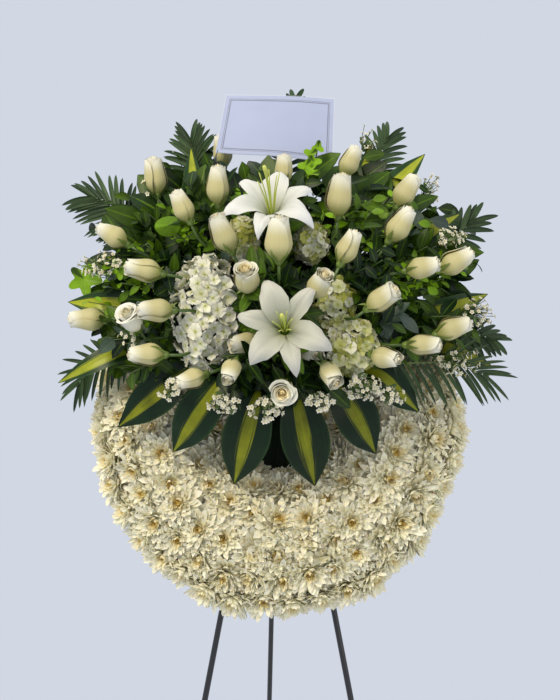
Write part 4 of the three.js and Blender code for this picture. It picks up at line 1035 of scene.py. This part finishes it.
# One lobed leaf and one round leaf stand out, both bright
def addSingleLeaves(pile):
    for pixel, depth, size, lobes, turn in (((84, 279), 96, 24, 5, 2.4), ((169, 225), 190, 21, 0, 0.2),
                                            ((120, 268), 150, 15, 5, 1.0), ((318, 147), 128, 9, 3, 1.4),
                                            ((311, 154), 130, 10, 3, 0.6), ((314, 162), 134, 10, 3, 2.2),
                                            ((306, 166), 138, 11, 3, 1.0), ((312, 174), 142, 11, 3, 0.2)):
        place = seen(pixel, depth)
        angle = np.linspace(0, 2 * math.pi, 41)
        edge = size * (1 + (0.3 * np.cos(lobes * angle) if lobes else -0.22 * np.sin(angle) ** 2))
        edge = edge * (1 - 0.1 * np.cos(angle))
        rows = np.linspace(0.02, 1, 6)[:, None]
        fold = 0 if lobes else 0.75 * rows * edge * np.abs(np.sin(angle))
        flat = np.stack([rows * edge * np.cos(angle + turn), fold - 2.5 * rows**2 * np.cos(2 * angle) - 3 * rows,
                         rows * edge * np.sin(angle + turn)], -1)
        addSheets(pile, (flat + place)[None], (0.6, 0.85 if lobes else 0.45))
        addStem(pile, place, np.array([0, -1, 0]), 1.2, 1, 6)


greenPiles = buildSprigs()
addCover(greenPiles)
addBacking(greenPiles)
addSingleLeaves(greenPiles["greens_left"])
for name, pile in greenPiles.items():
    finishPile(pile, f"{name}_leaves", [smallLeaf, stemGreen, greyLeaf], "green", name)
print("sprigs made")

# Sprays of tiny white flowers: pixel, half width and half height in pixels, flowers
filler = {
    "seed": 51,
    "clusters": {
        "filler_left": [((100, 264), 22, 13, 60), ((146, 186), 8, 8, 10), ((128, 340), 14, 8, 16)],
        "filler_right": [((452, 238), 15, 12, 34), ((432, 188), 9, 15, 26), ((481, 312), 17, 14, 46),
                         ((368, 138), 10, 14, 22)],
        "filler_lower_left": [((170, 390), 12, 10, 26), ((224, 404), 16, 10, 40), ((266, 410), 18, 12, 44)],
        "filler_lower_right": [((320, 402), 14, 9, 34), ((364, 388), 20, 12, 52), ((394, 396), 14, 8, 24),
                               ((460, 360), 22, 16, 50)],
    },
}


def tinyFlowers(centres, axes, sizes, rng):
    v = np.array([0.12, 0.6, 1.0])
    u = np.array([-1, 0, 1])
    half = np.array([0.16, 0.42, 0.2])
    grids = []
    for centre, axis, size in zip(centres, axes, sizes):
        spin = rng.uniform(0, 6)
        for i in range(5):
            turn = 2 * math.pi * i / 5
            side = size * half[:, None] * u
            out = size * (v[:, None] - 0.1 * np.abs(u))
            rise = 0.25 * size * v[:, None] ** 2 + 0.1 * np.abs(side)
            petal = np.stack([out * math.cos(turn) - side * math.sin(turn),
                              out * math.sin(turn) + side * math.cos(turn), rise], -1)
            grids.append(placed(petal, axis, centre, spin))
    return np.array(grids)


def buildFiller():
    rng = np.random.default_rng(filler["seed"])
    for name, clusters in filler["clusters"].items():
        pile = newPile()
        for pixel, wide, tall, count in clusters:
            middle = seen(pixel, domeDepth(pixel) - 16)
            end, start = rootToward(middle)
            knot = middle + 0.45 * (end - middle) * min(1, 60 / np.linalg.norm(end - middle))
            addTubes(pile, smoothPath([start, end, knot], 8)[None], 1.4, 5, (0.5, 0.2), 1)
            angle, far = rng.uniform(0, 2 * math.pi, count), np.sqrt(rng.uniform(0, 1, count))
            spots = np.array([seen((pixel[0] + wide * f * math.cos(a), pixel[1] + tall * f * math.sin(a)),
                                   domeDepth(pixel) - rng.uniform(4, 34)) for a, f in zip(angle, far)])
            axes = unit(spots - knot + np.array([0, -14, 6]) + rng.normal(0, 8, (count, 3)))
            addSheets(pile, tinyFlowers(spots, axes, rng.uniform(3.6, 5.2, count), rng),
                      np.repeat(np.stack([rng.uniform(0.3, 1, count), np.zeros(count)], -1), 5, axis=0))
            beads = np.array([placed(turnedRows([(0.1, -1.6), (1, -1), (1.1, 0.4), (0.1, 1)], 5), a, p)[0]
                              for p, a in zip(spots, axes)])
            addSheets(pile, beads, (0.7, 1.0), 0, closed=True)
            forks = knot + (spots - knot) * 0.5 + rng.normal(0, 2.5, (count, 3))
            lines = np.stack([np.repeat(knot[None], count, 0), forks, spots - axes], 1)
            addTubes(pile, lines, 0.55, 4, (0.5, 0.5), 1)
            leaves = max(4, count // 3)
            picks = rng.integers(0, count, leaves)
            ways = unit(spots[picks] - knot + rng.normal(0, 14, (leaves, 3)))
            sides = unit(np.cross(ways, np.cross(np.array([0, -1.0, 0.3]), ways)))
            addSheets(pile, leafGrids(forks[picks], ways, rng.uniform(10, 17, leaves), rng.uniform(2, 3.4, leaves),
                                      sides), (0.4, 0.35), 1)
        finishPile(pile, f"{name}_flowers", [fillerPetal, stemGreen], "filler", name)


buildFiller()
print("filler made")

# The card, bare but for a fine double border, in its clear sleeve
card = {
    "size": (194, 114), "lean": 14, "roll": 1.5, "pixel": (277, 127), "depth": 62,
    "paper": (164, 176, 208), "line": (66, 72, 104), "sleeveMargin": 1.5,
    "corners": (((-8.6, -16, 1.1), (1.7, 0, -7.3)), ((5, -5, 2.8), (4.3, 0, 3.2))),  # how far each is pulled
}
cardCentre = seen(card["pixel"], card["depth"])


def cardSheet(margin, forward, columns=36, rows=20):
    x = np.linspace(-0.5, 0.5, columns)[None]
    z = np.linspace(-0.5, 0.5, rows)[:, None]
    wave = -2.4 * np.cos(x * 6) + 1.5 * z + 0.9 * np.sin(9 * x + 5 * z) - forward
    flat = np.stack([x * (card["size"][0] + 2 * margin) + 0 * z, wave, z * (card["size"][1] + 2 * margin) + 0 * x], -1)
    a, b = math.radians(-card["lean"]), math.radians(card["roll"])
    px, py, pz = flat[..., 0], flat[..., 1] * math.cos(a) - flat[..., 2] * math.sin(a), \
        flat[..., 1] * math.sin(a) + flat[..., 2] * math.cos(a)
    turned = np.stack([px * math.cos(b) + pz * math.sin(b), py, pz * math.cos(b) - px * math.sin(b)], -1)
    for high, row in zip((0.5 - z, 0.5 + z), card["corners"]):
        for right, pull in zip((0.5 - x, 0.5 + x), row):
            turned = turned + (high * right)[..., None] * np.array(pull)
    return (turned + cardCentre)[None]


def makeCardPaper():
    material = bpy.data.materials.new("cardPaper")
    material.use_nodes = True
    tree = material.node_tree
    shader = tree.nodes["Principled BSDF"]
    across, up = uvParts(tree, "petal")
    toEdge = []
    for value, size in ((across, card["size"][0]), (up, card["size"][1])):
        off = calc(tree, "SUBTRACT", 0.5, calc(tree, "ABSOLUTE", calc(tree, "SUBTRACT", value, 0.5)))
        toEdge.append(calc(tree, "MULTIPLY", off, size))
    near = calc(tree, "MINIMUM", *toEdge)
    lines = None
    for inset, width in ((7.0, 0.45), (9.6, 0.9)):
        mark = calc(tree, "LESS_THAN", calc(tree, "ABSOLUTE", calc(tree, "SUBTRACT", near, inset)), width)
        lines = mark if lines is None else calc(tree, "MAXIMUM", lines, mark)
    fibres = addNode(tree, "ShaderNodeGroup", node_tree=grain)
    fibres.inputs["Light"].default_value = tone(*card["paper"])
    fibres.inputs["Dark"].default_value = tone(*[c - 8 for c in card["paper"]])
    fibres.inputs["Scale"].default_value = 900.0
    colour = blendTones(tree, calc(tree, "MULTIPLY", lines, 0.85), fibres.outputs["Colour"], tone(*card["line"]))
    tree.links.new(colour, shader.inputs["Base Color"])
    relief = addNode(tree, "ShaderNodeBump", {"Strength": 0.15, "Distance": 0.0003,
                                              "Height": fibres.outputs["Height"]})
    tree.links.new(relief.outputs[0], shader.inputs["Normal"])
    shader.inputs["Roughness"].default_value = 0.6
    shader.inputs["Coat Weight"].default_value = 0.25
    shader.inputs["Coat Roughness"].default_value = 0.2
    return material


def makeSleeve():
    material = grainMaterial("clearSleeve", (236, 238, 244), (224, 227, 236), 30.0, (0.5, 0.004),
                             values={"Roughness": 0.12, "Alpha": 0.16, "Specular IOR Level": 0.6})
    return material


def buildCard():
    pile = newPile()
    addSheets(pile, cardSheet(0, 0))
    addSheets(pile, cardSheet(0, -1.2)[:, :, ::-1], material=0)
    finishPile(pile, "card_paper", [makeCardPaper()], "card", "card")
    sleeve = newPile()
    addSheets(sleeve, cardSheet(card["sleeveMargin"], 0.9))
    finishPile(sleeve, "card_sleeve", [makeSleeve()], "card")
    pick = newPile()
    behind = cardCentre + np.array([0, 6.5, 0])
    up = np.array([0, math.sin(math.radians(card["lean"])), math.cos(math.radians(card["lean"]))])
    end, start = rootToward(behind + np.array([0, 0, -60]))
    path = np.vstack([np.linspace(start, end, 3), np.linspace(behind - 48 * up, behind + 30 * up, 9)])
    addTubes(pick, path[None], 2.2, 10)
    finishPile(pick, "card_stick", [pickWood], "wood", "card_pick")


buildCard()
print("card made")

# The straw ring with its twine, and the foam
strawRing = {"around": 160, "section": 30, "windings": 74, "twineRadius": 0.9, "rough": 1.6}


def buildRing():
    rng = np.random.default_rng(61)
    pile = newPile()
    around = np.linspace(0, 2 * math.pi, strawRing["around"], endpoint=False)
    section = np.linspace(0, math.pi, strawRing["section"])
    grid = onRing(section[:, None], around[None], -3.0)
    flat = np.linspace(grid[-1], grid[0], 16)[1:]
    whole = np.concatenate([grid, flat])
    soft = rng.normal(0, strawRing["rough"], whole.shape[:2])
    soft = (soft + np.roll(soft, 1, 1) + np.roll(soft, -1, 1)) / 3
    outward = unit(whole - onRing(np.array(math.pi / 2), around, -40.0)[None])
    limit = np.minimum(soft, 1.5)[..., None]
    whole = whole + outward * limit
    whole[..., 1] = np.minimum(whole[..., 1], -0.3)
    whole[-1] = whole[0]
    addSheets(pile, leaned(whole)[None], (0.5, 0.5), 0, closed=True)
    s = np.concatenate([np.linspace(0.06, math.pi - 0.06, 18)])
    paths = []
    for i in range(strawRing["windings"]):
        at = 2 * math.pi * (i + rng.uniform(-0.2, 0.2)) / strawRing["windings"]
        front = onRing(s, at + 0.03 * s / math.pi, -1.2)
        back = np.linspace(front[-1], front[0], 10)[1:-1]
        back[:, 1] = -0.6
        paths.append(np.vstack([front, back, front[:1]]))
    addTubes(pile, leaned(np.array(paths)), strawRing["twineRadius"], 6, (0.5, 0.5), 1)
    finishPile(pile, "straw_ring", [straw, twine], "straw", "ring_base")
    foam = newPile()
    rise = np.linspace(0.0, math.pi / 2 - 0.01, 18)
    turn = np.linspace(0, 2 * math.pi, 48, endpoint=False)
    half = wreath["foamHalf"]
    dome = np.stack([half[0] * np.cos(rise)[:, None] * np.cos(turn), -half[1] * np.sin(rise)[:, None] + 0 * turn,
                     half[2] * np.cos(rise)[:, None] * np.sin(turn)], -1)
    dome = dome * (0.97 + 0.015 * rng.normal(0, 1, dome.shape[:2]))[..., None]
    back = np.stack([0.01 * dome[0, :, 0], 0 * turn, 0.01 * dome[0, :, 2]], -1)[None]
    addSheets(foam, (leaned(np.concatenate([back, dome])) + foamCentre)[None], (0.5, 0.5), 0, closed=True)
    finishPile(foam, "foam_block", [foamGreen], "foam", "foam")


buildRing()
print("ring and foam made")

# The stand: three painted rods in a head with a peg, rubber caps, and the wire loop on the ring
stand = {
    "rodRadius": 5.3, "spreadAtHead": 6.9, "slope": 0.1865, "rodTop": 176, "rearFoot": (-30, 370, -1050),
    "headDepth": 46, "headTop": 188, "pegRadius": 4, "pegDepth": 4.6, "wireRadius": 2, "floor": -1050,
}


def footCap(centre, axis):
    rows = [(5.6, 34.4), (7.4, 34.5), (8.4, 33.6), (9.0, 30), (10.6, 21), (10.9, 19), (10.4, 17.6), (10.9, 16),
            (10.9, 12), (10.4, 10.6), (10.9, 9), (11, -18), (0.1, -18)]
    cap = placed(turnedRows(rows, 36), unit(axis), centre)
    cap[..., 2] = np.maximum(cap[..., 2], stand["floor"])
    return cap


def buildStand():
    back = stand["rodRadius"] + 0.6
    c, s = math.cos(math.radians(wreath["lean"])), math.sin(math.radians(wreath["lean"]))
    feet = {}
    for side, name in ((-1, "left"), (1, "right")):
        def at(z):
            return leaned([side * (stand["spreadAtHead"] + stand["slope"] * (stand["rodTop"] - z)), back, z])
        down = (stand["floor"] + back * s) / c
        feet[f"front_{name}"] = (at(stand["rodTop"]), at(down + 5.5), at(down))
    top = leaned([0, stand["headDepth"] - 14, stand["rodTop"]])
    foot = np.array(stand["rearFoot"], float)
    feet["rear"] = (top, foot + unit(top - foot) * 5.5, foot)
    for name, (high, low, floor) in feet.items():
        rod = newPile()
        addTubes(rod, np.linspace(high, low, 12)[None], stand["rodRadius"], 28)
        collar = turnedRows([(5.2, -3), (6.6, -2.4), (7.4, 0), (7.0, 1.8), (5.2, 2.2)], 20)
        under = high + unit(low - high) * 29
        addSheets(rod, placed(collar, unit(high - low), under), (0.5, 0.5), 0, closed=True)
        finishPile(rod, f"rod_{name}", [blackPaint], "rod", f"leg_{name}")
        cap = newPile()
        addSheets(cap, footCap(floor, high - floor), (0.5, 0.5), 0, closed=True)
        finishPile(cap, f"cap_{name}", [rubberBlack], "rubber", f"foot_{name}")
    peg = newPile()
    rows = [(0.1, -9), (4, -9), (4, 30), (4, 34), (3.6, 37), (2.6, 41), (0.1, 42)]
    place = leaned([0, stand["pegDepth"], stand["headTop"]])
    addSheets(peg, placed(turnedRows(rows, 24), leaned([0, 0, 1.0]), place), (0.5, 0.5), 0, closed=True)
    finishPile(peg, "head_peg", [blackPaint], "rod", "stand_peg")
    loop = newPile()
    reach = stand["pegRadius"] + 0.4 + stand["wireRadius"]
    height = stand["headTop"] + stand["wireRadius"] + 0.4
    bend = [(reach * math.cos(a), stand["pegDepth"] + reach * math.sin(a), height) for a in np.linspace(0, math.pi, 25)]
    line = leaned(np.array([(reach, -22, height), (reach, -10, height), *bend, (-reach, -10, height),
                            (-reach, -22, height)]))
    addTubes(loop, line[None], stand["wireRadius"], 14)
    finishPile(loop, "wire_loop", [wireSteel], "wire", "hanging_loop")
    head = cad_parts["stand_head"]
    head.data.materials.clear()
    head.data.materials.append(blackPaint)
    bevel = head.modifiers.new("roundedEdges", "BEVEL")
    bevel.width = 0.0015
    bevel.segments = 3
    bevel.limit_method = "ANGLE"


buildStand()
print("stand made")

# Floor, light and camera
room = {
    "floorRadius": 1.18, "floorTone": (216, 220, 228), "air": (209, 215, 227), "airStrength": 1.0,
    "lightTone": (255, 240, 214),
    "lights": (  # place, size, watts
        ((-1.2, -2.1, 2.8), 1.1, 54), ((1.9, -1.9, 1.7), 2.0, 12), ((0.3, 1.6, 2.8), 1.6, 10)),
}


def makeFloor():
    mesh = bpy.data.meshes.new("floor")
    turn = 2 * math.pi * np.arange(96) / 96
    radius = room["floorRadius"]
    mesh.from_pydata([(radius * math.cos(a), radius * math.sin(a), -0.0005) for a in turn], [], [list(range(96))])
    floor = bpy.data.objects.new("floor", mesh)
    bpy.context.scene.collection.objects.link(floor)
    shade = tuple(max(0, c - 5) for c in room["floorTone"])
    mesh.materials.append(grainMaterial("floorTone", room["floorTone"], shade, 60.0, (0.05, 0.001),
                                        values={"Roughness": 0.7}))


def makeLights():
    target = Vector((0, -0.1, 1.1))
    for i, (place, size, watts) in enumerate(room["lights"]):
        light = bpy.data.lights.new(f"softbox{i}", "AREA")
        light.size = size
        light.energy = watts
        light.color = tone(*room["lightTone"])[:3]
        lamp = bpy.data.objects.new(f"softbox{i}", light)
        lamp.location = place
        lamp.rotation_euler = (target - Vector(place)).to_track_quat("-Z", "Y").to_euler()
        bpy.context.scene.collection.objects.link(lamp)
    world = bpy.data.worlds.new("air")
    world.use_nodes = True
    world.node_tree.nodes["Background"].inputs[0].default_value = tone(*room["air"])
    world.node_tree.nodes["Background"].inputs[1].default_value = room["airStrength"]
    bpy.context.scene.world = world
    bpy.context.scene.view_settings.view_transform = "Standard"


def makeCamera():
    camera = bpy.data.cameras.new("photoCamera")
    camera.sensor_width = 36
    camera.lens = 41.47
    holder = bpy.data.objects.new("photoCamera", camera)
    x, y, z = wreath["place"]
    holder.location = (x + 0.0037, y - view["distance"] * 0.001, z + 0.1451)
    holder.rotation_euler = (math.radians(90), 0, 0)
    bpy.context.scene.collection.objects.link(holder)
    bpy.context.scene.camera = holder


makeFloor()
makeLights()
makeCamera()
print("stage set")
